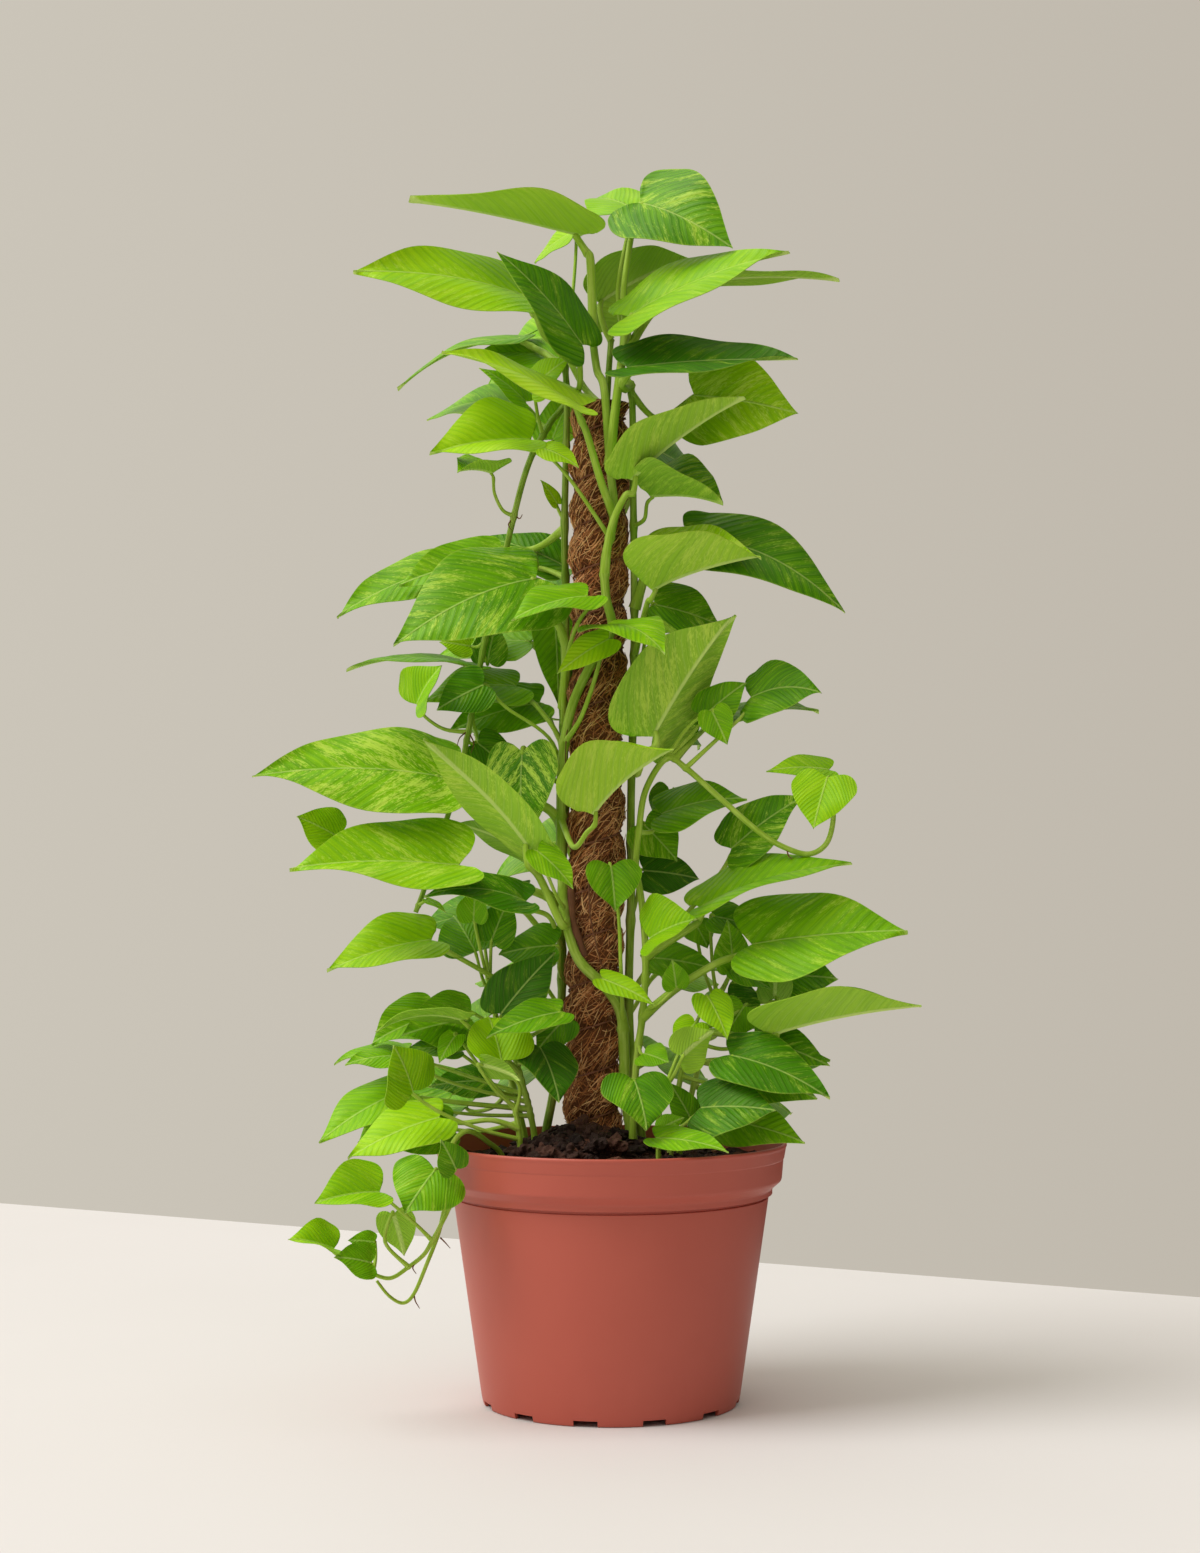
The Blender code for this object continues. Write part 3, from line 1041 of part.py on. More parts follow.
def make_coir():
    """Coir sleeve that bulges between the turns of its binding, with a bore for the stake."""
    finish = material("coir", (0.20, 0.075, 0.035), 0.95)
    profile = ((0.0, POLE_RADIUS - TWINE_GROOVE), (0.30, POLE_RADIUS - 0.03), (0.62, POLE_RADIUS))
    turns = (POLE_TOP - POLE_FOOT) / TWINE_PITCH
    shell = bmesh.new()
    rows = []
    for whole in range(-2, math.ceil(turns) + 2):
        for share, radius in profile:
            row = []
            for step in range(TURN_SEGMENTS + 1):
                place = whole + step / TURN_SEGMENTS
                swell = 0.10 * share * noise.noise(Vector((place * 5.0, share * 3.0, 0.5)))
                row.append(shell.verts.new(helix_point(place, radius + swell, share)))
            rows.append(row)
    for lower, upper in zip(rows, rows[1:]):
        for step in range(TURN_SEGMENTS):
            shell.faces.new((lower[step], lower[step + 1], upper[step + 1], upper[step]))
    bmesh.ops.remove_doubles(shell, verts=shell.verts, dist=1e-5)
    for height, outward in ((POLE_FOOT, -1.0), (POLE_TOP, 1.0)):
        whole = shell.verts[:] + shell.edges[:] + shell.faces[:]
        bmesh.ops.bisect_plane(shell, geom=whole, plane_co=(0.0, 0.0, height * CM),
                               plane_no=(0.0, 0.0, outward), clear_outer=True)
        rim = [edge for edge in shell.edges if edge.is_boundary
               and all(abs(end.co.z - height * CM) < 1e-6 for end in edge.verts)]
        bmesh.ops.contextual_create(shell, geom=rim)
    bmesh.ops.recalc_face_normals(shell, faces=shell.faces)
    mesh = bpy.data.meshes.new("pole_coir")
    shell.to_mesh(mesh)
    shell.free()
    mesh.materials.append(finish)
    coir = bpy.data.objects.new("pole_coir", mesh)
    bpy.context.scene.collection.objects.link(coir)
    path = [Vector((pole_across(height), 0.0, height)) * CM
            for height in (POLE_FOOT - 3.0, STAKE_TOP + GAP)]
    bore = tube(path, [(STAKE_RADIUS + STAKE_SPARE) * CM] * 2, POLE_SIDES)
    cutter = add_object("bore", level_ends(bore[0], POLE_SIDES), bore[1], None)
    combine(coir, [cutter], "DIFFERENCE", "MANIFOLD")


def make_twine():
    """Thin twine bound round the pole in its grooves."""
    finish = material("twine", (0.45, 0.30, 0.20), 0.8)
    turns = (POLE_TOP - POLE_FOOT) / TWINE_PITCH
    radius = POLE_RADIUS - TWINE_GROOVE + TWINE_RADIUS + TWINE_LIFT
    count = int((turns - 0.7) * TURN_SEGMENTS)
    start = 0.5
    path = [helix_point(start + index / TURN_SEGMENTS, radius) for index in range(count)]
    vertices, faces = tube(path, [TWINE_RADIUS * CM] * len(path), TWINE_SIDES)
    add_object("pole_twine", vertices, faces, finish)


def make_vine(name, vine, leaves, finish):
    """One leafy stem: its stems, stalks and blades grown together."""
    tubes = stem_tubes(vine)
    stem = add_object(name, *tubes[0], finish)
    others = [add_object("branch", *solid, None) for solid in tubes[1:]]
    for shape, stalk in leaves:
        length = shape["axes"][0]
        others.append(add_object("stalk", *stalk_tube(stalk, length), None))
        solid = blade(shape, blade_rows(length), BLADE_COLUMNS, BLADE_THICKNESS)
        others.append(add_object("blade", *solid, None))
    combine(stem, others, "UNION", "MANIFOLD")


def make_plant():
    """Build the whole plant in an empty scene."""
    for item in list(bpy.data.objects):
        bpy.data.objects.remove(item)
    make_pot()
    make_soil()
    make_stake()
    make_coir()
    make_twine()
    finish = material("pothos", (0.10, 0.30, 0.02), 0.4, 0.1)
    settled = settle_leaves()
    for name, vine in VINES.items():
        make_vine(name, vine, settled[name], finish)
    for item in bpy.data.objects:
        item.data.shade_smooth()
        item.data.set_sharp_from_angle(angle=math.radians(SHARP_ANGLE))


make_plant()
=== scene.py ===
"""Variegated pothos on a coir pole in a nursery pot, dressed round its CAD frame.

Sizes are in centimetres, as read with a rule on a front elevation through the
pot's axis, and CM turns them to metres. The light and the finishes are in metres.
"""

import json
import math
import random

import bpy
from mathutils import Matrix, Vector, noise
from mathutils.bvhtree import BVHTree

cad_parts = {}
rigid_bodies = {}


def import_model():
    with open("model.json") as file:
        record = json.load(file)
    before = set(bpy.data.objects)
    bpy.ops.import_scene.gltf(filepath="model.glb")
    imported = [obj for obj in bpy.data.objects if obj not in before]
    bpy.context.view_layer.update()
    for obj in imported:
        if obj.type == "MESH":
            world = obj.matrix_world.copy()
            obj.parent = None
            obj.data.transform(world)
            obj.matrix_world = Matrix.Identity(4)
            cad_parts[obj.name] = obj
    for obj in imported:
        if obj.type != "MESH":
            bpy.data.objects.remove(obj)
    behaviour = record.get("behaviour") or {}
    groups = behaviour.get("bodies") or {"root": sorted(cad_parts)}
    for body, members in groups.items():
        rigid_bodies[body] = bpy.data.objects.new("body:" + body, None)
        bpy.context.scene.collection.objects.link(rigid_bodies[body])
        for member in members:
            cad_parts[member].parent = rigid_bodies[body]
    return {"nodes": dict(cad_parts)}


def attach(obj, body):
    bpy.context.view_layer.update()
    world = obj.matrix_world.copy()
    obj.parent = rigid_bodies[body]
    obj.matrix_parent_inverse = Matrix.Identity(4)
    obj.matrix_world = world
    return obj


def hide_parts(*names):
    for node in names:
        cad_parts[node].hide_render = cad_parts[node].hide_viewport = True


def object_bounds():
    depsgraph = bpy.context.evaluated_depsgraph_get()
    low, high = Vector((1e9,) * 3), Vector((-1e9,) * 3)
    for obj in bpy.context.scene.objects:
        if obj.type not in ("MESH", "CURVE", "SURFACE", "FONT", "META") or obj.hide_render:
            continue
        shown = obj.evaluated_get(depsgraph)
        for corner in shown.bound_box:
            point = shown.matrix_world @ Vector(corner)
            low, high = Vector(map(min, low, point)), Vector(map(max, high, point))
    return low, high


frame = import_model()
cad_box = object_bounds()

# Studio: a pale table against a grey-beige wall, and one large soft light high
# on the left. The wall is the world's own colour, so that it hides nothing when the
# plant is seen from behind, and the room it stands for is brightest at the upper left.
# The wall's colour is painted lighter on the left and darker on the right, as painted light.

CM = 0.01
EYE_DISTANCE = 175.0
EYE_HEIGHT = 36.08
TABLE_EDGE = ((-72.8, 113.8), (53.5, 45.4))
TABLE_REACH = 320.0
TABLE_DEPTH = 300.0
TABLE_DROP = 0.02
LAMP_PLACE = (-6.2, -2.1, 8.8)
LAMP_AIM = (0.0, 0.0, 0.35)
LAMP_SIDE = 6.2
LAMP_POWER = 770.0
LAMP_COLOUR = (1.0, 0.995, 0.985)
ROOM_LIGHT_FROM = (-0.45, 0.0, 0.89)
ROOM_GLOW_LEAST = 0.05
ROOM_GLOW_MOST = 1.90

# The camera's sensor in millimetres, and in pixels the picture's height, the focal
# distance, and how far the horizon and the pot's axis lie from the picture's middle
SENSOR_SIDE = 36.0
PICTURE_HEIGHT = 1553.0
PICTURE_FOCUS = 2425.2
HORIZON_BELOW_MIDDLE = 123.5
AXIS_RIGHT_OF_MIDDLE = 11.0


def paint(red, green, blue):
    """Linear colour of a reading on a 0 to 255 display scale."""
    return tuple(((value / 255.0 + 0.055) / 1.055) ** 2.4 for value in (red, green, blue)) + (1.0,)


class Value:
    """A number in a material. Arithmetic on it adds Math nodes."""

    def __init__(self, finish, socket):
        self.finish = finish
        self.socket = socket

    def math(self, operation, first, second=0.0):
        return self.finish.node("ShaderNodeMath", {"operation": operation}, {0: first, 1: second})

    def __add__(self, other):
        return self.math("ADD", self, other)

    def __sub__(self, other):
        return self.math("SUBTRACT", self, other)

    def __rsub__(self, other):
        return self.math("SUBTRACT", other, self)

    def __mul__(self, other):
        return self.math("MULTIPLY", self, other)

    def __abs__(self):
        return self.math("ABSOLUTE", self)

    __radd__ = __add__
    __rmul__ = __mul__


class Finish:
    """A Principled material, or the world, and the one way that other nodes come into it."""

    def __init__(self, name, owners=bpy.data.materials, shader="Principled BSDF", **constants):
        self.owner = owners.new(name)
        self.owner.use_nodes = True
        self.nodes = self.owner.node_tree.nodes
        self.links = self.owner.node_tree.links
        self.shader = self.nodes[shader]
        self.wear(**constants)

    def node(self, kind, settings, inputs, output=0):
        made = self.nodes.new(kind)
        for name, value in settings.items():
            if name == "stops":
                self.fill_ramp(made.color_ramp, value)
            else:
                setattr(made, name, value)
        for socket, value in inputs.items():
            self.feed(made.inputs[socket], value)
        return Value(self, made.outputs[output])

    def fill_ramp(self, ramp, stops):
        while len(ramp.elements) < len(stops):
            ramp.elements.new(1.0)
        for element, (place, colour) in zip(ramp.elements, stops):
            element.position = place
            element.color = colour

    def feed(self, socket, value):
        if isinstance(value, Value):
            self.links.new(value.socket, socket)
        else:
            socket.default_value = value

    def wear(self, **inputs):
        """Set or link the shader's own sockets, named with underscores for spaces."""
        for name, value in inputs.items():
            self.feed(self.shader.inputs[name.replace("_", " ")], value)

    def mix(self, factor, first, second):
        return self.node("ShaderNodeMix", {"data_type": "RGBA"}, {0: factor, 6: first, 7: second}, 2)

    def step(self, value, low, high):
        """Smooth step from 0 at low to 1 at high."""
        return self.node("ShaderNodeMapRange", {"interpolation_type": "SMOOTHSTEP"},
                         {"Value": value, "From Min": low, "From Max": high})

    def grain(self, scale, detail=2.0, roughness=0.5, place=None, stretch=None):
        """Noise from 0 to 1 over the object's own coordinates, or over a given place."""
        place = place or self.node("ShaderNodeTexCoord", {}, {}, "Object")
        if stretch:
            place = self.node("ShaderNodeMapping", {}, {"Vector": place, "Scale": stretch})
        return self.node("ShaderNodeTexNoise", {},
                         {"Vector": place, "Scale": scale, "Detail": detail, "Roughness": roughness})

    def bump(self, height, distance, strength=1.0):
        return self.node("ShaderNodeBump", {},
                         {"Height": height, "Distance": distance, "Strength": strength})

    def ramp(self, factor, *stops):
        """Colour that follows a factor through stops, each a place and a colour."""
        return self.node("ShaderNodeValToRGB", {"stops": stops}, {0: factor})

    def attribute(self, name, output="Fac"):
        """A number, or a vector, stored on the piece's points."""
        return self.node("ShaderNodeAttribute", {"attribute_name": name}, {}, output)

    def three(self, name):
        """The three numbers of a vector stored on the piece's points."""
        vector = self.attribute(name, "Vector")
        return [self.node("ShaderNodeSeparateXYZ", {}, {0: vector}, output) for output in range(3)]


table_finish = Finish("table_paint", Roughness=0.75)
table_finish.wear(Base_Color=table_finish.mix(table_finish.grain(3.0), paint(219, 217, 217),
                                              paint(223, 221, 222)))
edge_start, edge_end = (Vector((*corner, 0.0)) * CM for corner in TABLE_EDGE)
along = (edge_end - edge_start).normalized()
forward = Vector((along.y, -along.x, 0.0))
corners = [edge_start - along * TABLE_REACH * CM, edge_end + along * TABLE_REACH * CM]
corners += [corner + forward * TABLE_DEPTH * CM for corner in reversed(corners)]
table_mesh = bpy.data.meshes.new("table")
drop = Vector((0.0, 0.0, TABLE_DROP * CM))
table_mesh.from_pydata([corner - drop for corner in corners], [], [(3, 2, 1, 0)])
table_mesh.materials.append(table_finish.owner)
table = bpy.data.objects.new("table", table_mesh)
bpy.context.scene.collection.objects.link(table)

camera = bpy.data.objects.new("camera", bpy.data.cameras.new("camera"))
camera.location = Vector((0.0, -EYE_DISTANCE, EYE_HEIGHT)) * CM
camera.rotation_euler = (math.radians(90.0), 0.0, 0.0)
camera.data.sensor_width = SENSOR_SIDE
camera.data.lens = PICTURE_FOCUS / PICTURE_HEIGHT * SENSOR_SIDE
camera.data.shift_x = -AXIS_RIGHT_OF_MIDDLE / PICTURE_HEIGHT
camera.data.shift_y = HORIZON_BELOW_MIDDLE / PICTURE_HEIGHT
bpy.context.scene.collection.objects.link(camera)
bpy.context.scene.camera = camera

lamp_data = bpy.data.lights.new("main_light", "AREA")
lamp_data.size = LAMP_SIDE
lamp_data.energy = LAMP_POWER
lamp_data.color = LAMP_COLOUR
lamp = bpy.data.objects.new("main_light", lamp_data)
lamp.location = LAMP_PLACE
lamp.rotation_euler = (Vector(LAMP_AIM) - Vector(LAMP_PLACE)).to_track_quat("-Z", "Y").to_euler()
bpy.context.scene.collection.objects.link(lamp)

wall = Finish("wall", bpy.data.worlds, "Background")
direction = wall.node("ShaderNodeTexCoord", {}, {}, "Generated")
across = wall.node("ShaderNodeSeparateXYZ", {}, {0: direction})
spread = wall.node("ShaderNodeMapRange", {}, {"Value": across, "From Min": -0.30, "From Max": 0.30})
slope = wall.node("ShaderNodeVectorMath", {"operation": "DOT_PRODUCT"},
                  {0: direction, 1: ROOM_LIGHT_FROM}, "Value")
glow = wall.node("ShaderNodeMapRange", {}, {
    "Value": slope, "From Min": -0.3, "To Min": ROOM_GLOW_LEAST, "To Max": ROOM_GLOW_MOST})
seen = wall.node("ShaderNodeLightPath", {}, {}, "Is Camera Ray")
# The wall's colour runs from lighter on the left to darker on the right: painted light falling across the
# wall.
wall.wear(Color=wall.mix(spread, paint(204, 198, 186), paint(191, 184, 172)),
          Strength=wall.node("ShaderNodeMapRange", {}, {"Value": seen, "To Min": glow}))
bpy.context.scene.world = wall.owner
bpy.context.scene.view_settings.view_transform = "Standard"


# Nursery pot: one piece of injection-moulded terracotta-coloured polypropylene, with
# a banded rim above a stepped shoulder and a castellated foot. It is turned from its
# half section, and the foot's notches and the drain holes are cut through.

POT_HEIGHT = 18.7
POT_RIM_RADIUS = 12.6
POT_BAND_RADIUS = 12.3
POT_SHOULDER_RADIUS = 11.35
POT_LIP_RADIUS = 11.62
POT_LIP_TOP = 15.45
LIP_SLIT = 0.22
POT_FOOT_RADIUS = 9.2
POT_BAND_BOTTOM = 16.1
POT_SHOULDER_HEIGHT = 15.0
POT_WALL = 0.22
POT_FLOOR_BOTTOM = 0.45
POT_FLOOR_TOP = 0.70
POT_PAD_RADIUS = 2.2
POT_STEPS = 144
NOTCH_COUNT = 12
NOTCH_WIDTH = 1.7
NOTCH_DEPTH = 1.6
NOTCH_HEIGHT = 0.42
NOTCH_FIRST_ANGLE = 19.0
DRAIN_COUNT = 4
DRAIN_RADIUS = 0.45
DRAIN_CIRCLE = 6.2

# Half section of the pot: how far a corner is eased, its distance from the axis and its height
POT_SECTION = (
    (0.00, 0.0, 0.0),
    (0.08, POT_PAD_RADIUS, 0.0),
    (0.08, POT_PAD_RADIUS + 0.2, POT_FLOOR_BOTTOM),
    (0.10, POT_FOOT_RADIUS - POT_WALL, POT_FLOOR_BOTTOM),
    (0.04, POT_FOOT_RADIUS - POT_WALL, 0.0),
    (0.10, POT_FOOT_RADIUS, 0.0),
    (0.30, POT_FOOT_RADIUS + 0.12, 0.5),
    (0.02, POT_SHOULDER_RADIUS, POT_SHOULDER_HEIGHT - LIP_SLIT),
    (0.02, POT_SHOULDER_RADIUS - 0.14, POT_SHOULDER_HEIGHT - LIP_SLIT + 0.02),
    (0.02, POT_SHOULDER_RADIUS - 0.14, POT_SHOULDER_HEIGHT + 0.03),
    (0.03, POT_LIP_RADIUS, POT_SHOULDER_HEIGHT + 0.03),
    (0.15, POT_LIP_RADIUS, POT_LIP_TOP),
    (0.12, POT_BAND_RADIUS - 0.05, POT_BAND_BOTTOM - 0.10),
    (0.06, POT_BAND_RADIUS, POT_BAND_BOTTOM + 0.05),
    (0.03, POT_BAND_RADIUS + 0.12, POT_HEIGHT - 1.16),
    (0.03, POT_BAND_RADIUS + 0.17, POT_HEIGHT - 1.08),
    (0.20, POT_RIM_RADIUS, POT_HEIGHT - 0.35),
    (0.08, POT_RIM_RADIUS + 0.08, POT_HEIGHT - 0.15),
    (0.06, POT_RIM_RADIUS, POT_HEIGHT),
    (0.06, POT_RIM_RADIUS - 0.16, POT_HEIGHT),
    (0.10, POT_RIM_RADIUS - POT_WALL, POT_HEIGHT - 0.2),
    (0.10, POT_BAND_RADIUS - POT_WALL, POT_BAND_BOTTOM + 0.1),
    (0.10, POT_SHOULDER_RADIUS + 0.15 - POT_WALL, POT_SHOULDER_HEIGHT + 0.35),
    (0.10, POT_SHOULDER_RADIUS - POT_WALL, POT_SHOULDER_HEIGHT + 0.05),
    (0.10, POT_FOOT_RADIUS + 0.12 - POT_WALL, POT_FLOOR_TOP),
    (0.00, 0.0, POT_FLOOR_TOP),
)


def rounded(profile, steps=3):
    """Half section with each corner eased by a short curve."""
    spots = [Vector((distance, height)) for _, distance, height in profile]
    eased = [spots[0]]
    for index in range(1, len(profile) - 1):
        corner = spots[index]
        before = spots[index - 1] - corner
        after = spots[index + 1] - corner
        reach = min(profile[index][0], before.length * 0.45, after.length * 0.45)
        start = corner + before.normalized() * reach
        end = corner + after.normalized() * reach
        for step in range(steps + 1):
            share = step / steps
            eased.append(start.lerp(corner, share).lerp(corner.lerp(end, share), share))
    eased.append(spots[-1])
    return eased


def make_active(piece):
    """Select one object alone and make it the active one."""
    for item in bpy.context.view_layer.objects:
        item.select_set(item == piece)
    bpy.context.view_layer.objects.active = piece


def from_points(name, vertices, faces, edges=()):
    """New object from its points, faces and edges."""
    mesh = bpy.data.meshes.new(name)
    mesh.from_pydata([tuple(point) for point in vertices], edges, faces)
    made = bpy.data.objects.new(name, mesh)
    bpy.context.scene.collection.objects.link(made)
    return made


def cut(target, size):
    """Take the newest primitive, brought to its size, out of a solid."""
    cutter = bpy.context.active_object
    cutter.scale = size
    make_active(cutter)
    bpy.ops.object.transform_apply(location=True, rotation=True, scale=True)
    boolean = target.modifiers.new("cut", "BOOLEAN")
    boolean.operation = "DIFFERENCE"
    boolean.object = cutter
    boolean.solver = "MANIFOLD"
    make_active(target)
    bpy.ops.object.modifier_apply(modifier=boolean.name)
    bpy.data.objects.remove(cutter)


section = [Vector((spot.x, 0.0, spot.y)) * CM for spot in rounded(POT_SECTION)]
nursery_pot = from_points("nursery_pot", section, [], [(i, i + 1) for i in range(len(section) - 1)])
make_active(nursery_pot)
bpy.ops.object.mode_set(mode="EDIT")
bpy.ops.mesh.select_all(action="SELECT")
bpy.ops.mesh.spin(steps=POT_STEPS, angle=2.0 * math.pi, center=(0.0, 0.0, 0.0), axis=(0.0, 0.0, 1.0))
bpy.ops.mesh.select_all(action="SELECT")
bpy.ops.mesh.remove_doubles(threshold=1e-5)
bpy.ops.mesh.normals_make_consistent(inside=False)
bpy.ops.object.mode_set(mode="OBJECT")
for index in range(NOTCH_COUNT):
    turn = math.radians(NOTCH_FIRST_ANGLE + index * 360.0 / NOTCH_COUNT - 90.0)
    spot = (POT_FOOT_RADIUS * CM * math.cos(turn), POT_FOOT_RADIUS * CM * math.sin(turn), 0.0)
    bpy.ops.mesh.primitive_cube_add(size=1.0, location=spot, rotation=(0.0, 0.0, turn))
    cut(nursery_pot, (NOTCH_DEPTH * CM, NOTCH_WIDTH * CM, 2.0 * NOTCH_HEIGHT * CM))
for index in range(DRAIN_COUNT):
    turn = 2.0 * math.pi * (index + 0.5) / DRAIN_COUNT
    spot = (DRAIN_CIRCLE * CM * math.cos(turn), DRAIN_CIRCLE * CM * math.sin(turn), 0.6 * CM)
    bpy.ops.mesh.primitive_cylinder_add(vertices=24, radius=DRAIN_RADIUS * CM, depth=0.8 * CM,
                                        location=spot)
    cut(nursery_pot, (1.0, 1.0, 1.0))
nursery_pot.data.shade_smooth()
nursery_pot.data.set_sharp_from_angle(angle=math.radians(50.0))

plastic = Finish("pot_plastic", Specular_IOR_Level=0.45)
cloudy = plastic.grain(14.0, 3.0)
speckle = plastic.grain(900.0, 2.0)
plastic.wear(
    Base_Color=plastic.mix(cloudy, paint(177, 80, 64), paint(187, 90, 73)),
    Roughness=0.40 + 0.10 * cloudy,
    Normal=plastic.bump(speckle + 3.0 * cloudy, 0.0001, 0.35),
)
nursery_pot.data.materials.clear()
nursery_pot.data.materials.append(plastic.owner)
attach(nursery_pot, "root")
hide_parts("pot")


# Potting mix: peat and chipped bark, filled loose into the pot and heaped round the
# foot of the pole. The bed is one closed body, and the chips lie on it.

SOIL_LEVEL = 17.3
SOIL_HEAP = 2.3
SOIL_HEAP_SPREAD = 3.4
SOIL_HEAP_CENTRE = (-1.8, -1.2)
SOIL_CRUMB = 0.16
SOIL_RADIUS = 12.0
BED_SIDE = ((9.0, 0.75), (11.0, 14.9), (11.85, 16.6))
CRUMBS = ((0.20, 2.3), (0.14, 5.1))
BED_RINGS = 44
BED_STEPS = 120
CHIP_COUNT = 950
HEAPED_COUNT = 316
FULL_TURN = 6.283
CHIP_LEAN = 0.45
CHIP_SPREAD = (2.6, 2.2)
CHIP_SEED = 5
CHIP_KINDS = 6
LUMP_COUNT = 60
LUMP_PLACE = (-3.2, -5.0)
LUMP_SPREAD = (1.7, 1.1)


def soil_height(across, depth):
    """Height of the potting mix, heaped by the pole, with a crumbly surface."""
    heap_across = across - SOIL_HEAP_CENTRE[0]
    heap_depth = depth - SOIL_HEAP_CENTRE[1]
    spread = (heap_across ** 2 + heap_depth ** 2) / (2.0 * SOIL_HEAP_SPREAD ** 2)
    crumb = noise.noise(Vector((across, depth, 0.0)) * 0.9)
    return SOIL_LEVEL + SOIL_HEAP * math.exp(-spread) + SOIL_CRUMB * crumb


def crumbs(across, depth):
    """Fine unevenness of the mix, in centimetres."""
    spot = Vector((across, depth, 3.0))
    return sum(size * noise.noise(spot * rate) for size, rate in CRUMBS)


def bed_ring(radius, height):
    """Points of one ring of the bed, level or following the heap."""
    ring = []
    for step in range(BED_STEPS):
        turn = 2.0 * math.pi * step / BED_STEPS
        across, depth = radius * math.cos(turn), radius * math.sin(turn)
        up = height if height is not None else soil_height(across, depth) + crumbs(across, depth)
        ring.append(Vector((across, depth, up)) * CM)
    return ring


def lofted(rings):
    """Closed solid from rings of equal length, as points and faces."""
    steps = len(rings[0])
    vertices = [point for ring in rings for point in ring]
    faces = []
    for low in range(0, len(vertices) - steps, steps):
        high = low + steps
        for step in range(steps):
            following = (step + 1) % steps
            faces.append((low + step, low + following, high + following, high + step))
    faces.append(tuple(reversed(range(steps))))
    faces.append(tuple(range(len(vertices) - steps, len(vertices))))
    return vertices, faces


bed_rings = [bed_ring(radius, height) for radius, height in BED_SIDE]
bed_rings += [bed_ring(SOIL_RADIUS * (1.0 - index / BED_RINGS), None) for index in range(BED_RINGS)]
potting_mix = from_points("potting_mix", *lofted(bed_rings))

chooser = random.Random(CHIP_SEED)


def chip_kind(kind, breadth, depth, fineness):
    """One rough chip about a unit long, as points and faces."""
    bpy.ops.mesh.primitive_ico_sphere_add(subdivisions=fineness, radius=0.5)
    stone = bpy.context.active_object
    points = []
    for vertex in stone.data.vertices:
        spot = vertex.co + Vector((3.0 * kind, 0.0, 0.0))
        push = 1.0 + 0.85 * noise.noise(spot * 2.6) + 0.35 * noise.noise(spot * 8.0)
        point = vertex.co * push
        points.append(Vector((point.x, point.y * breadth, point.z * depth)))
    faces = [tuple(polygon.vertices) for polygon in stone.data.polygons]
    bpy.data.objects.remove(stone)
    return points, faces


def gathered(solids):
    """Several solids as one list of points and one of faces."""
    vertices, faces = [], []
    for solid_vertices, solid_faces in solids:
        start = len(vertices)
        vertices.extend(solid_vertices)
        faces.extend(tuple(start + index for index in face) for face in solid_faces)
    return vertices, faces


def scattered(kinds, count, spot, sizes, sink):
    """Chips laid at random turns, as points, faces and one shade for each point. A chip
    sinks into the mix, or stands out of it, by a share of its size."""
    chips, shades = [], []
    for _ in range(count):
        across, depth = spot()
        points, chip_faces = chooser.choice(kinds)
        size = chooser.uniform(*sizes)
        turn = Matrix.Rotation(chooser.uniform(0.0, FULL_TURN), 3, "Z")
        turn = turn @ Matrix.Rotation(chooser.gauss(0.0, CHIP_LEAN), 3, "X")
        up = soil_height(across, depth) + crumbs(across, depth) - sink * size
        centre = Vector((across, depth, up)) * CM
        chips.append(([centre + turn @ point * size * CM for point in points], chip_faces))
        shades.extend([chooser.random()] * len(points))
    return gathered(chips) + (shades,)


def anywhere():
    """A place on the mix, clear of the pot's wall."""
    reach = (SOIL_RADIUS - 0.9) * math.sqrt(chooser.random())
    turn = chooser.uniform(0.0, 2.0 * math.pi)
    return reach * math.cos(turn), reach * math.sin(turn)


def near(centre, spread):
    """A place round a centre, with its spread across and in depth."""
    return [middle + chooser.gauss(0.0, reach) for middle, reach in zip(centre, spread)]


def note(mesh, name, values):
    """Store one number for each point under a name."""
    mesh.attributes.new(name, "FLOAT", "POINT").data.foreach_set("value", values)


chip_kinds = [chip_kind(kind, breadth=0.62, depth=0.42, fineness=2) for kind in range(CHIP_KINDS)]
lump_kinds = [chip_kind(kind + 0.5, breadth=0.75, depth=0.72, fineness=4) for kind in range(CHIP_KINDS)]
loose = scattered(chip_kinds, CHIP_COUNT, anywhere, sizes=(0.25, 0.8), sink=0.05)
heaped = scattered(chip_kinds, HEAPED_COUNT, lambda: near(SOIL_HEAP_CENTRE, CHIP_SPREAD),
                   sizes=(0.45, 1.7), sink=-0.12)
lumps = scattered(lump_kinds, LUMP_COUNT, lambda: near(LUMP_PLACE, LUMP_SPREAD),
                  sizes=(1.0, 2.3), sink=-0.20)
bark_chips = from_points("bark_chips", *gathered([heap[:2] for heap in (loose, heaped, lumps)]))
note(bark_chips.data, "shade", loose[2] + heaped[2] + lumps[2])

earth = Finish("peat", Roughness=0.95, Specular_IOR_Level=0.2)
clods = earth.grain(240.0, 5.0, 0.65)
earth.wear(Base_Color=earth.mix(clods, paint(24, 15, 12), paint(74, 48, 38)),
           Normal=earth.bump(clods, 0.0015, 0.8))
potting_mix.data.materials.append(earth.owner)
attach(potting_mix, "root")
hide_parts("soil")

bark = Finish("chipped_bark", Roughness=0.85, Specular_IOR_Level=0.3)
ridges = bark.grain(420.0, 4.0, 0.6, stretch=(1.0, 0.35, 1.0))
tint = bark.ramp(bark.attribute("shade") * 0.8 + ridges * 0.25, (0.0, paint(22, 14, 11)),
                 (0.55, paint(52, 33, 26)), (0.85, paint(88, 56, 44)), (1.0, paint(136, 88, 66)))
bark.wear(Base_Color=tint, Normal=bark.bump(ridges, 0.001, 0.7))
bark_chips.data.materials.append(bark.owner)
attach(bark_chips, "root")


# Stake: a turned softwood rod, pushed into the mix to carry the sleeve. The CAD
# node keeps its shape and only takes the grain of the wood.

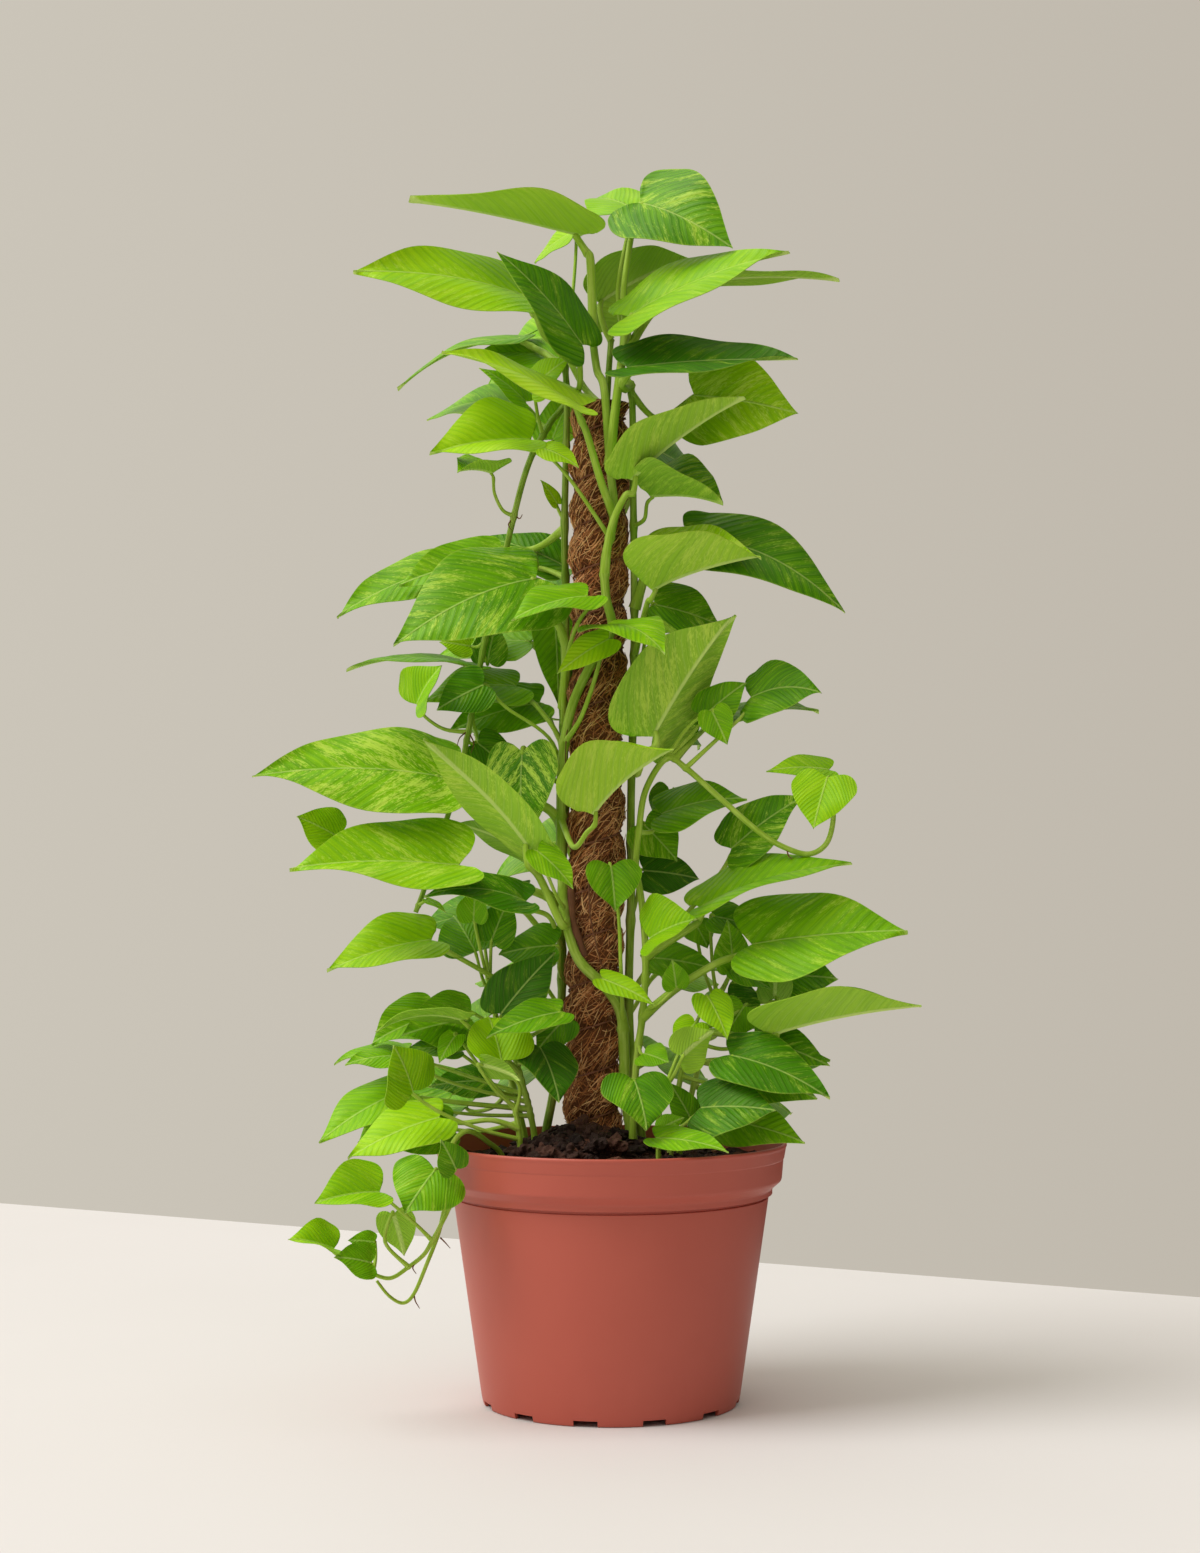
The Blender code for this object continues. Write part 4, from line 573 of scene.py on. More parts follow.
stake = frame["nodes"]["pole_stake"]
wood = Finish("stake_wood", Roughness=0.7)
rings = wood.grain(260.0, 3.0, stretch=(1.0, 1.0, 0.05))
wood.wear(Base_Color=wood.mix(rings, paint(150, 112, 74), paint(196, 158, 112)),
          Normal=wood.bump(rings, 0.0006, 0.5))
stake.data.materials.clear()
stake.data.materials.append(wood.owner)


# Coir sleeve: matted coconut fibre rolled round the stake, which bulges between the
# turns of the twine that binds it. Loose strands stand a little off the mat.

POLE_FOOT = 18.0
POLE_TOP = 71.9
POLE_ACROSS_AT_FOOT = -1.35
POLE_ACROSS_AT_TOP = -0.75
POLE_RADIUS = 2.0
TWINE_PITCH = 3.3
TWINE_GROOVE = 0.30
MAT_LUMPS = ((0.16, 1.7), (0.09, 4.3))
MAT_SWELL = 0.08
MAT_PINCH = 0.56
PINCH_SHARPNESS = 2.4
MAT_STEPS = 96
MAT_ROWS = 340
STRAND_COUNT = 6000
STRAND_LENGTHS = (0.8, 2.6)
STRAND_THICKNESSES = (0.021, 0.058)
STRAND_BOW = (0.0, 0.25)
WOUND_SHARE = 0.8
WOUND_SLANT = (0.85, 0.25)
STRAY_SLANT = (-0.5, 0.6)
FLAT_SHARE = 0.9
FLAT_LIFTS = (0.0, 0.14)
RAISED_LIFTS = (0.1, 0.45)
STRAND_SEED = 21


def pole_across(height):
    """Place across of the leaning pole's axis at a height."""
    share = (height - POLE_FOOT) / (POLE_TOP - POLE_FOOT)
    return POLE_ACROSS_AT_FOOT + (POLE_ACROSS_AT_TOP - POLE_ACROSS_AT_FOOT) * share


def mat_point(height, turn, lift=0.0):
    """Point on the mat's face, or lifted off it. The mat is pinched in under each turn of the twine."""
    share = ((height - POLE_FOOT) / TWINE_PITCH - turn / (2.0 * math.pi)) % 1.0
    pinch = abs(2.0 * share - 1.0) ** PINCH_SHARPNESS
    spot = Vector((math.cos(turn), math.sin(turn), height * 0.5))
    lump = sum(size * noise.noise(spot * rate) for size, rate in MAT_LUMPS)
    reach = POLE_RADIUS + MAT_SWELL - MAT_PINCH * pinch + lump * (1.0 - 0.4 * pinch) + lift
    return Vector((pole_across(height) + reach * math.cos(turn), reach * math.sin(turn), height)) * CM


mat_rings = []
for row in range(MAT_ROWS + 1):
    height = POLE_FOOT + (POLE_TOP - 0.1 - POLE_FOOT) * row / MAT_ROWS
    mat_rings.append([mat_point(height, 2.0 * math.pi * step / MAT_STEPS) for step in range(MAT_STEPS)])
for inset, rise in ((0.35, 0.08), (0.9, 0.14), (1.5, 0.10)):
    middle = Vector((pole_across(POLE_TOP), 0.0, POLE_TOP - 0.1 + rise)) * CM
    mat_rings.append([middle + (point - middle) * ((POLE_RADIUS - inset) / POLE_RADIUS)
                      for point in mat_rings[MAT_ROWS]])
coir_mat = from_points("coir_mat", *lofted(mat_rings))
coir_mat.data.shade_smooth()


def heading(path, index):
    """Direction of a path at one of its points."""
    return (path[min(index + 1, len(path) - 1)] - path[max(index - 1, 0)]).normalized()


def tube(path, radii, sides):
    """Closed tube along a path as points and faces."""
    side = (path[1] - path[0]).normalized().orthogonal().normalized()
    turns = [2.0 * math.pi * step / sides for step in range(sides)]
    rings = []
    for index, centre in enumerate(path):
        ahead = heading(path, index)
        side = (side - ahead * side.dot(ahead)).normalized()
        other = ahead.cross(side)
        rings.append([centre + (side * math.cos(turn) + other * math.sin(turn)) * radii[index]
                      for turn in turns])
    return lofted(rings)


def strand(picker):
    """One loose coir fibre lying on the mat, and its shade."""
    height = picker.uniform(POLE_FOOT + 0.2, POLE_TOP - 0.5)
    turn = picker.uniform(0.0, 2.0 * math.pi)
    slant = picker.gauss(*(WOUND_SLANT if picker.random() < WOUND_SHARE else STRAY_SLANT))
    length = picker.uniform(*STRAND_LENGTHS)
    bow = picker.gauss(*STRAND_BOW)
    ends_lift = picker.uniform(*(FLAT_LIFTS if picker.random() < FLAT_SHARE else RAISED_LIFTS))
    path = []
    for index in range(6):
        share = index / 5.0
        forth = (share - 0.5) * length
        up = height + forth * math.sin(slant) + bow * (4.0 * share * (1.0 - share) - 0.5)
        up = min(max(up, POLE_FOOT + 0.05), POLE_TOP - 0.15)
        round_to = turn + forth * math.cos(slant) / POLE_RADIUS
        path.append(mat_point(up, round_to, 0.02 + ends_lift * share ** 3))
    thick = picker.uniform(*STRAND_THICKNESSES) * CM
    return tube(path, [thick, thick, thick, thick, thick * 0.9, thick * 0.5], 3), picker.random()


picker = random.Random(STRAND_SEED)
strands = [strand(picker) for _ in range(STRAND_COUNT)]
coir_strands = from_points("coir_strands", *gathered([solid for solid, _ in strands]))
note(coir_strands.data, "shade", [shade for solid, shade in strands for _ in solid[0]])
coir_strands.data.shade_smooth()

coir = Finish("coir", Roughness=0.95, Specular_IOR_Level=0.2)
matted = coir.grain(300.0, 5.0, 0.7, stretch=(1.0, 1.0, 0.45))
patch = coir.grain(50.0, 3.0)
coir.wear(Base_Color=coir.mix(matted * 0.6 + patch * 0.5, paint(44, 22, 10), paint(132, 80, 44)),
          Normal=coir.bump(matted, 0.0022, 1.0))
coir_mat.data.materials.append(coir.owner)
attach(coir_mat, "root")
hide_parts("pole_coir")

fibre = Finish("coir_fibre", Roughness=0.7, Specular_IOR_Level=0.4)
fibre.wear(Base_Color=fibre.ramp(
    fibre.attribute("shade") * 0.9 + fibre.grain(90.0) * 0.15,
    (0.0, paint(92, 48, 20)), (0.5, paint(196, 122, 64)), (1.0, paint(255, 206, 146))))
coir_strands.data.materials.append(fibre.owner)
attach(coir_strands, "root")


# Binding twine: one thin two-ply coir cord, wound up the sleeve in its grooves from
# a little above its foot to just under its top.

TWINE_RADIUS = 0.075
TWINE_TURN_STEPS = 40
TWINE_LIFT = 0.04
PLY_TURN = 0.9
PLY_REACH = 0.5
PLY_THICKNESS = 0.62


def helix_point(turns, radius):
    """Point on the binding's helix round the pole."""
    height = POLE_FOOT + turns * TWINE_PITCH
    angle = 2.0 * math.pi * turns
    across = pole_across(height) + radius * math.cos(angle)
    return Vector((across, radius * math.sin(angle), height)) * CM


binding_path = []
turns = (POLE_TOP - POLE_FOOT) / TWINE_PITCH
for index in range(int((turns - 0.7) * TWINE_TURN_STEPS)):
    place = 0.5 + index / TWINE_TURN_STEPS
    binding_path.append(helix_point(place, POLE_RADIUS - TWINE_GROOVE + TWINE_RADIUS + TWINE_LIFT))
plies = []
for side in (0.0, math.pi):
    ply = []
    for index, point in enumerate(binding_path):
        ahead = heading(binding_path, index)
        out = Matrix.Rotation(side + index * PLY_TURN, 3, ahead) @ ahead.orthogonal().normalized()
        ply.append(point + out * TWINE_RADIUS * PLY_REACH * CM)
    plies.append(tube(ply, [TWINE_RADIUS * PLY_THICKNESS * CM] * len(ply), 5))
binding = from_points("binding_twine", *gathered(plies))
binding.data.shade_smooth()
cord_finish = Finish("twine", Roughness=0.85, Specular_IOR_Level=0.25)
ply_grain = cord_finish.grain(500.0, 3.0)
cord_finish.wear(Base_Color=cord_finish.mix(ply_grain, paint(98, 58, 40), paint(158, 106, 78)),
                 Normal=cord_finish.bump(ply_grain, 0.0004, 0.6))
binding.data.materials.append(cord_finish.owner)
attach(binding, "root")
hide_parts("pole_twine")


# Climbing, hanging and trailing stems of a variegated pothos, with their leaf stalks
# and blades. Each stem is one piece: it is rooted in the mix, held to the pole by its
# roots, and every leaf is set where its stalk leaves a node of the stem.

PLANTING_DEPTH = 2.8
STEM_TRACK = 2.62
BLADE_THICKNESS = 0.085
TEST_THICKNESS = 0.26
BLADE_WAVE = 0.07
BLADE_SHARE = 0.66
LONG_LEAF = 10.5
MIDDLING_LEAF = 6.0
STALK_END = 0.03
STALK_SIDES = 3
STALK_SPARE = 0.07
STALK_THINNEST = 0.10
STALK_THICKEST = 0.26
STALK_SHARE = 0.020
STEM_SIDES = 4
STEM_TAPER = 0.35
BRANCH_SHARE = 0.85
LEAF_THICKNESS = 0.05
BROAD_LEAF = 9.0
GROWN_LEAF = 11.0
GROWN_RIB = 10.0
FEWEST_VEINS = 8.0
MOST_VEINS = 14.0
VEINS_AT_LEAST_SIZE = 7.0
VEINS_PER_METRE = 60.0
NODE_REACH = 0.07
NODE_SWELL = 0.28
RIB_DEPTH = 0.13
RIB_SPREAD = 0.16
VEIN_RELIEF = 0.022
VEIN_SLANT = 0.85
VEIN_CURVE = 1.30
SWAY = 0.24
STALK_FULLNESS = 1.18
STALK_TONE = 0.8

# Half outline of a blade: shares of its length at which a side vein starts on the rib
# and ends on the edge, and the edge's reach as a share of the half width
LEAF_OUTLINE = (
    (0.00, -0.10, 0.40), (0.03, -0.07, 0.74), (0.09, 0.08, 0.97), (0.20, 0.26, 1.00),
    (0.36, 0.46, 0.86), (0.56, 0.66, 0.60), (0.76, 0.83, 0.31), (0.91, 0.94, 0.10), (1.00, 1.00, 0.00),
)

# The same outline with round lobes at the notch and a drawn-out tip
FINE_OUTLINE = (
    (0.00, -0.085, 0.26), (0.02, -0.118, 0.50), (0.04, -0.095, 0.72), (0.07, -0.010, 0.89),
    (0.12, 0.120, 0.985), (0.20, 0.260, 1.00), (0.36, 0.460, 0.87), (0.56, 0.660, 0.61),
    (0.74, 0.810, 0.33), (0.88, 0.920, 0.125), (0.96, 0.975, 0.035), (1.00, 1.000, 0.00),
)


def at(across, up, depth):
    """World point of a reading on the elevation, moved to a depth along the line of sight."""
    scale = 1.0 + depth / EYE_DISTANCE
    return Vector((across * scale, depth, EYE_HEIGHT + (up - EYE_HEIGHT) * scale)) * CM


def on_pole(angle, height, reach=STEM_TRACK):
    """Point round the pole: 0 degrees is its front, 90 its right side."""
    turn = math.radians(angle)
    across = pole_across(height) + reach * math.sin(turn)
    return Vector((across, -reach * math.cos(turn), height)) * CM


def planted(across, depth):
    """The two lowest points of a stem that stands in its hole in the mix."""
    surface = soil_height(across, depth)
    return [Vector((across, depth, surface + rise)) * CM for rise in (-PLANTING_DEPTH, 0.3)]


def planted_by_pole(angle, reach=3.7):
    """A planting place beside the pole."""
    spot = on_pole(angle, 19.0, reach) / CM
    return planted(spot.x, spot.y)


def climb(*readings):
    """Part of a route that climbs the pole, from angles and heights."""
    return [on_pole(*reading) for reading in readings]


def trail(*readings):
    """Part of a route from readings on the elevation."""
    return [at(*reading) for reading in readings]


def over_rim(*places):
    """Part of a route from plain places, in centimetres."""
    return [Vector(place) * CM for place in places]


def spline(points, place):
    """Catmull-Rom point at a place counted in points along the route."""
    last = len(points) - 1
    place = min(max(place, 0.0), last)
    first = min(int(place), last - 1)
    share = place - first
    before = points[max(first - 1, 0)]
    start = points[first]
    end = points[first + 1]
    after = points[min(first + 2, last)]
    return 0.5 * (
        2.0 * start
        + (end - before) * share
        + (2.0 * before - 5.0 * start + 4.0 * end - after) * share ** 2
        + (3.0 * start - before - 3.0 * end + after) * share ** 3
    )


def smooth_route(points, per_span):
    """Points read from the smooth curve through a route's own points."""
    count = round((len(points) - 1) * per_span)
    return [spline(points, index * (len(points) - 1) / count) for index in range(count + 1)]


def stem_point(route, place):
    """Point on a stem's centre line at a place counted in points along its route."""
    place = min(place, len(route) - 1.08)
    first = int(place)
    return route[first].lerp(route[first + 1], place - first)


def leaf_axes(base, tip, tilt):
    """Length, axis, side and normal of a blade.

    A tilt of 0 turns the upper face to the eye, 90 turns it up so that the
    blade is seen edge on, and above 90 its underside shows.
    """
    axis = tip - base
    length = axis.length
    axis.normalize()
    front = (Vector((0.0, -EYE_DISTANCE, EYE_HEIGHT)) * CM - base).normalized()
    facing = (front - axis * front.dot(axis)).normalized()
    upward = axis.cross(facing)
    if upward.z < 0.0:
        upward.negate()
    turn = math.radians(tilt)
    normal = facing * math.cos(turn) + upward * math.sin(turn)
    return length, axis, normal.cross(axis), normal


def outline_at(place, outline=LEAF_OUTLINE):
    """Start on the rib and end on the edge of the side vein at a place from 0 to 1."""
    route = [Vector(row) for row in outline]
    return spline(route, place * (len(route) - 1))


def blade_point(shape, place, across):
    """Point of the upper face: place runs base to tip, across runs edge to edge."""
    length, axis, side, normal = shape["axes"]
    half_width = shape["width"] * CM / 2.0
    rib, edge, reach = outline_at(place, shape.get("outline", LEAF_OUTLINE))
    along = rib + (edge - rib) * abs(across)
    offset = across * max(reach, 0.0) * half_width
    span = min(max(along, 0.0), 1.0)
    swell = 4.0 * span * (1.0 - span)
    rise = shape["arch"] * length * swell
    rise += abs(offset) * math.tan(math.radians(shape["fold"]))
    rise -= shape["cup"] * offset ** 2 / half_width
    rise += BLADE_WAVE * half_width * across ** 2 * math.sin(shape["phase"] + 9.0 * span)
    sweep = shape["sweep"] * length * swell
    turn = math.radians(shape["twist"]) * span
    level = offset * math.cos(turn) - rise * math.sin(turn) + sweep
    height = offset * math.sin(turn) + rise * math.cos(turn)
    return shape["base"] + axis * (along * length) + side * level + normal * height


def halved(quads):
    """Each four-sided face as two triangles."""
    return [half for a, b, c, d in quads for half in ((a, b, d), (b, c, d))]


def blade_faces(rows, columns, split):
    """Faces of a blade: rows of points base to tip above, then the same rows below."""
    total = rows * (columns + 1) + 1
    top = []
    for row in range(rows - 1):
        for first in range(row * (columns + 1), row * (columns + 1) + columns):
            above = first + columns + 1
            top.append((first + 1, above + 1, above, first))
    last = (rows - 1) * (columns + 1)
    tips = [(first + 1, total - 1, first) for first in range(last, last + columns)]
    rim = [row * (columns + 1) for row in range(rows)] + [total - 1]
    rim += [row * (columns + 1) + columns for row in reversed(range(rows))]
    rim += list(reversed(range(1, columns)))
    band = [(end, total + end, total + start, start) for start, end in zip(rim, rim[1:] + rim[:1])]
    if split:
        top, band = halved(top), halved(band)
    top += tips
    return top + [tuple(total + index for index in reversed(face)) for face in top] + band


def plain_blade(shape, thickness):
    """Closed blade of few faces, in which leaves are settled."""
    length, _, _, normal = shape["axes"]
    rows = 3 + sum(length > limit * CM for limit in (MIDDLING_LEAF, LONG_LEAF))
    upper = [blade_point(shape, row / rows, across) for row in range(rows) for across in (-1.0, 0.0, 1.0)]
    upper.append(blade_point(shape, 1.0, 0.0))
    return upper + [point - normal * (thickness * CM) for point in upper], blade_faces(rows, 2, True)


def leaf(root, base, tip, width, tilt, tone, marble, *via, arch=0.06, fold=14.0, cup=0.22, twist=0.0,
         sweep=0.0):
    """One leaf: where its stalk leaves the stem, its blade's ends, width, tilt, tone and share
    of marbling, the points that its stalk goes by, and how the blade is bent."""
    return dict(locals())


def placed(row, route, shift, lift):
    """A leaf's blade shape and stalk path once moved back by a shift and up by a lift."""
    def moved(reading, share):
        across, up, depth = reading
        return at(across, up + lift * share, depth + shift * share)

    base = moved(row["base"], 1.0)
    shape = dict(row, base=base, axes=leaf_axes(base, moved(row["tip"], 1.0), row["tilt"]),
                 phase=40.0 * row["base"][0] + 23.0 * row["base"][1])
    length, axis, _, normal = shape["axes"]
    root = stem_point(route, row["root"])
    joint = blade_point(shape, 0.15, 0.0) - normal * BLADE_THICKNESS * CM / 2.0
    knee = base - axis * length * 0.05 - normal * length * 0.09
    if row["via"]:
        count = len(row["via"]) + 1
        middle = [moved(point, (index + 1) / count) for index, point in enumerate(row["via"])]
    else:
        reach = (knee - root).length
        middle = [root.lerp(knee, 0.5) + Vector((0.0, 0.0, -0.10 * reach))]
        middle[0] += (knee - root).cross(Vector((0.0, 0.0, 1.0))) * 0.04
    return shape, [root] + middle + [knee, joint]


def stalk_radius(length):
    """Stalk radius that suits a leaf's length, both in metres."""
    return min(max(STALK_SHARE * length, STALK_THINNEST * CM), STALK_THICKEST * CM)


def stalk_tube(stalk, length, spare=0.0):
    """Tube along a leaf's stalk, a little stouter where it leaves the stem."""
    path = smooth_route(stalk, 1.0)
    thick = stalk_radius(length)
    radii = [thick * (1.25 - 0.4 * index / (len(path) - 1)) + spare for index in range(len(path))]
    radii[-1] = STALK_END * CM
    return tube(path, radii, STALK_SIDES)


# For each leafy stem: its radius, its routes and its leaves. A leaf's root counts the
# route's points from the foot, and its base, tip and stalk are elevation readings.
VINES = {
    "vine_front": (0.42, [
        planted_by_pole(50) + climb((52, 22.5, 2.9), (58, 25), (48, 28), (18, 29.9), (-24, 31.8),
            (-50, 34.5), (-66, 38), (-74, 42), (-68, 46.5), (-42, 50), (-8, 53), (22, 55.3), (12, 57.7),
            (10, 60.3), (24, 63.5), (16, 67), (6, 72.3)) + trail((-1, 74.3, -2), (-1.3, 76.4, -1.2)),
    ], [
        leaf(20, (-2.2, 84.1, -1.2), (-14.6, 86.5, -3), 7, 92, 0.75, 0.15, (-1.35, 79, -1.2),
             (-1.5, 82.3, -1.1), arch=0.02, fold=31, cup=0.05),
        leaf(17, (1.2, 78.2, -2.6), (12.9, 82.8, -5.6), 7, 66, 0.6, 0.25, (0.2, 70.5, -3), (0.7, 74.5, -2.8),
             arch=0.05, fold=18),
        leaf(16, (-2.3, 71.8, -3.6), (-12.2, 75.7, -6.2), 5.2, 73, 0.85, 0.2, (-0.7, 66.2, -3.6),
             (-1.7, 69.6, -3.7), arch=0.05),
        leaf(14.6, (1.5, 66.5, -4.3), (9.7, 72.3, -6), 5.8, 94, 0.62, 0.55, (0, 62.9, -3.7), (1, 65.2, -4.2),
             arch=0.04, fold=42, cup=0.1),
        leaf(15.5, (-4.7, 68.6, -3.6), (-2.3, 67.3, -5.2), 2, 40, 0.8, 0.1, (-2.2, 65.4, -3.8),
             (-3.6, 67.2, -3.9)),
        leaf(9, (-1.3, 42.3, -5), (4.5, 47, -6.2), 7.4, 96, 0.78, 0.6, (-2.7, 39.9, -3.6), (-1.7, 41, -4.6),
             fold=46, cup=0.1),
        leaf(7, (-5.9, 39.8, -5), (-13.5, 47.8, -9.4), 4.6, 128, 0.6, 0.6, (-3.6, 34.4, -3.4),
             (-5.1, 37.6, -3.9), twist=50),
        leaf(7.3, (-5.3, 39.6, -5.4), (-2.7, 36.9, -6), 2.9, 40, 0.55, 0.2, (-3.9, 36.3, -4),
             (-4.9, 38.6, -4.8)),
        leaf(5.2, (-0.6, 30.4, -4.2), (3.2, 28.5, -5.6), 1.9, 30, 0.7, 0.1),
        leaf(13, (-0.2, 54.9, -4.4), (-3.9, 52.4, -5.8), 2.6, 30, 0.8, 0.1),
        leaf(10.2, (-0.3, 55.9, -5), (3.9, 53.8, -9.2), 5.8, 62, 0.6, 0.3, (-2.1, 49.4, -3.7),
             (-0.9, 53, -4.6), arch=0.12),
        leaf(3.6, (0, 38.5, -3.7), (0.3, 35.2, -4.7), 4, 12, 0.42, 0.1, (0.7, 31.6, -3.6), (0.5, 35.4, -3.2),
             fold=26),
    ]),
    "vine_left": (0.34, [
        planted_by_pole(-112) + climb((-108, 23, 2.9), (-116, 29), (-110, 36), (-120, 43), (-110, 50),
            (-116, 57), (-106, 63), (-110, 69)) + trail((-3.2, 73, 0.9), (-3.5, 76, 0.6)),
    ], [
        leaf(11, (-6, 79.6, -1.6), (-18.6, 81.5, -4), 7.2, 66, 0.7, 0.25, (-4.7, 76.8, -0.2),
             (-5.3, 78.2, -0.8), twist=-30),
        leaf(10, (-2.1, 76.2, -3.4), (-8.2, 82.9, -5.6), 5.6, 50, 0.3, 0.1, (-2.3, 73, -1.6), arch=0.05),
        leaf(11, (-2.9, 84.2, 4.5), (-5.5, 82, 7), 2.6, 70, 0.7, 0.1, (-2.8, 79.5, 3.2)),
        leaf(10, (-3.8, 75.2, 3.4), (-10, 75.2, 5.5), 4.8, 60, 0.6, 0.1),
        leaf(10.4, (-6.4, 76.6, 6), (-15.4, 72.9, 8), 4.2, 84, 0.45, 0.1, (-4.6, 75.4, 3.4), arch=0.1),
        leaf(9, (-4.2, 69.4, 2.4), (-2.2, 73.2, 5.4), 3.6, 30, 0.6, 0.1),
        leaf(6, (-5.4, 59.3, -2.8), (-15.7, 54.4, -6.4), 9, 38, 0.4, 0.45, (-3.3, 54.6, -1.6),
             (-4.6, 57.3, -2.2), arch=0.1, fold=10),
        leaf(8, (-11.5, 60.2, 2.8), (-19.8, 56.5, 1), 5, 52, 0.45, 0.4, (-5.6, 61.4, 3.4), (-9, 61.4, 3.4)),
        leaf(7.4, (-8.4, 60.6, 1.2), (-15.3, 58.8, 0), 4.8, 38, 0.5, 0.2, (-5, 60, 2.4)),
        leaf(7.2, (-3.6, 60.3, 2.6), (-9, 62.2, 5), 3.9, 40, 0.3, 0.1),
        leaf(8.1, (-3.9, 64.7, 0.6), (-5.1, 66.4, 0), 1.1, 30, 0.8, 0.1),
        leaf(6.6, (-4.1, 56.8, 1), (-3.8, 50, 0.2), 3.6, 10, 0.45, 0.2),
        leaf(5.8, (-1.7, 58, -4.2), (-7.2, 56.3, -7), 4.8, 60, 0.5, 0.1, (-3.3, 52.6, -1.6),
             (-2.6, 55.6, -3.4), fold=18),
        leaf(5.2, (-6.9, 51.5, -2.2), (-13.6, 50.3, -4.4), 5.6, 56, 0.55, 0.25, (-3.7, 47.6, -1.2),
             (-5.3, 50, -2), arch=0.09),
        leaf(5, (-9.2, 51.6, -0.6), (-12.6, 49.8, -1), 3.6, 18, 0.3, 0.1, (-4.2, 47.4, -0.6),
             (-7.6, 50, -0.8)),
        leaf(5.6, (-5.2, 50.3, 0.9), (-11.7, 48.2, 0.2), 5, 46, 0.45, 0.2),
        leaf(4.7, (-12.2, 45, -3.4), (-25.9, 45, -6.2), 8.7, 45, 0.5, 0.7, (-4.6, 42.7, -2.2),
             (-8.4, 44, -3), fold=11),
        leaf(3.9, (-11, 38.6, -3.6), (-23.2, 38.4, -6.4), 7.8, 50, 0.6, 0.5, (-4.8, 36.4, -1.4),
             (-8, 37.4, -2.6), arch=0.04, fold=25),
        leaf(3.5, (-6.2, 36, -2.9), (-13.5, 36.4, -4.4), 4.6, 56, 0.25, 0.3, (-4.4, 34.8, -1.4), arch=0.12),
        leaf(2.4, (-13, 33.2, -2.2), (-20.5, 30.9, -4.2), 5.6, 50, 0.7, 0.35, (-5.5, 28.6, 0.2),
             (-9, 30.8, -0.6), fold=24),
        leaf(5.2, (-6.4, 46.8, -0.8), (-6.4, 40, -1.8), 5.4, 16, 0.3, 0.8),
        leaf(4, (-6, 39.4, -0.9), (-11.3, 41.6, -0.4), 4, 118, 0.35, 0.1),
        leaf(3.2, (-4.1, 32.8, -0.8), (-8.1, 32.1, 0.6), 3.8, 34, 0.35, 0.1),
    ]),
    "vine_hanging": (0.28, [
        planted_by_pole(-156) + climb((-152, 24, 2.8), (-158, 32), (-150, 40), (-156, 48), (-150, 56),
            (-154, 63), (-146, 68.5)) + trail((-2.4, 72.2, 2.5), (-4, 71, 1.4), (-4.9, 69.6, 0.5),
            (-5.6, 68.4, 0), (-6.3, 66.5, -0.4), (-7, 63.8, -0.6), (-7.9, 60, -0.6), (-9.1, 54.8, -0.4),
            (-9.8, 50.9, -0.4), (-10.3, 48.2, -0.5), (-10.9, 45.2, -0.5), (-11.7, 42.4, -0.5),
            (-12.7, 39.4, -0.6), (-13.5, 36.8, -0.8), (-14.1, 35.2, -1)),
    ], [
        leaf(12, (-5.8, 69.3, -0.8), (-13.1, 68.2, -3.2), 6.4, 52, 0.78, 0.15, fold=31),
        leaf(11, (-5.6, 73, -1.2), (-3, 75.2, -2.6), 2.9, 40, 0.7, 0.1),
        leaf(10.6, (-6.2, 72.1, 1.2), (-9.5, 74.5, 0.4), 2.2, 50, 0.6, 0.1),
        leaf(14, (-8.6, 66.9, -1.6), (-11.1, 67, -4.2), 4.2, 88, 0.6, 0.1, (-7.8, 64.2, -1),
             (-8.4, 65.4, -1.4), fold=34),
        leaf(16, (-10.2, 54.4, 0.8), (-12.4, 54.7, 0.4), 1.9, 15, 0.75, 0.1),
        leaf(16.2, (-8.9, 53.3, 2.4), (-8.3, 56, 3.2), 2.8, 10, 0.35, 0.4),
        leaf(16.6, (-10, 52.9, 1.2), (-19.1, 52.6, -1.4), 4.6, 82, 0.4, 0.1, arch=0.09),
        leaf(17.6, (-9.4, 48.6, 2), (-3.7, 49.6, 3.4), 3.2, 78, 0.4, 0.1),
        leaf(18, (-14, 50.2, -1.8), (-12.2, 53, -2.8), 4.6, 52, 0.6, 0.1, (-12, 48.4, -0.8),
             (-13.3, 49.2, -1.4), fold=30),
        leaf(20.4, (-19.8, 40.7, -0.4), (-22.7, 42.1, -1.4), 3.7, 24, 0.7, 0.1, (-15.4, 40.4, 0.6),
             (-18.4, 40.2, 0.4)),
        leaf(18.2, (-9.6, 47.4, 1), (-6.9, 45, 1.8), 3.2, 20, 0.3, 0.1),
        leaf(19.6, (-11.8, 43.1, 1), (-14.5, 43.4, 1.8), 2, 66, 0.4, 0.1),
        leaf(22.6, (-13.3, 36.1, -1.6), (-11.9, 35.2, -2.4), 0.8, 50, 0.7, 0.1),
    ]),
    "vine_right": (0.34, [
        planted_by_pole(104) + climb((98, 23, 2.9), (106, 29), (98, 36), (106, 43), (96, 50), (86, 56),
            (74, 61), (66, 66), (58, 72.3)) + trail((0.8, 74.3, -0.9), (1.2, 76.5, 0)),
    ], [
        leaf(12, (2.1, 86.4, -1.4), (8.8, 83.1, -5.4), 7.2, 31, 0.34, 0.35, (0.9, 79.6, -0.6),
             (1.4, 83.6, -0.4), arch=0.08, fold=20),
        leaf(11.6, (1.5, 86, 1.8), (-1.6, 86.6, 6.4), 5, 64, 0.6, 0.1, (0.5, 80, 1), (1.2, 84, 1.4)),
        leaf(11.4, (4.4, 80.3, 1.8), (16.5, 80.8, 0.2), 5.4, 104, 0.6, 0.1, (2.6, 78, 1.2), arch=0.04),
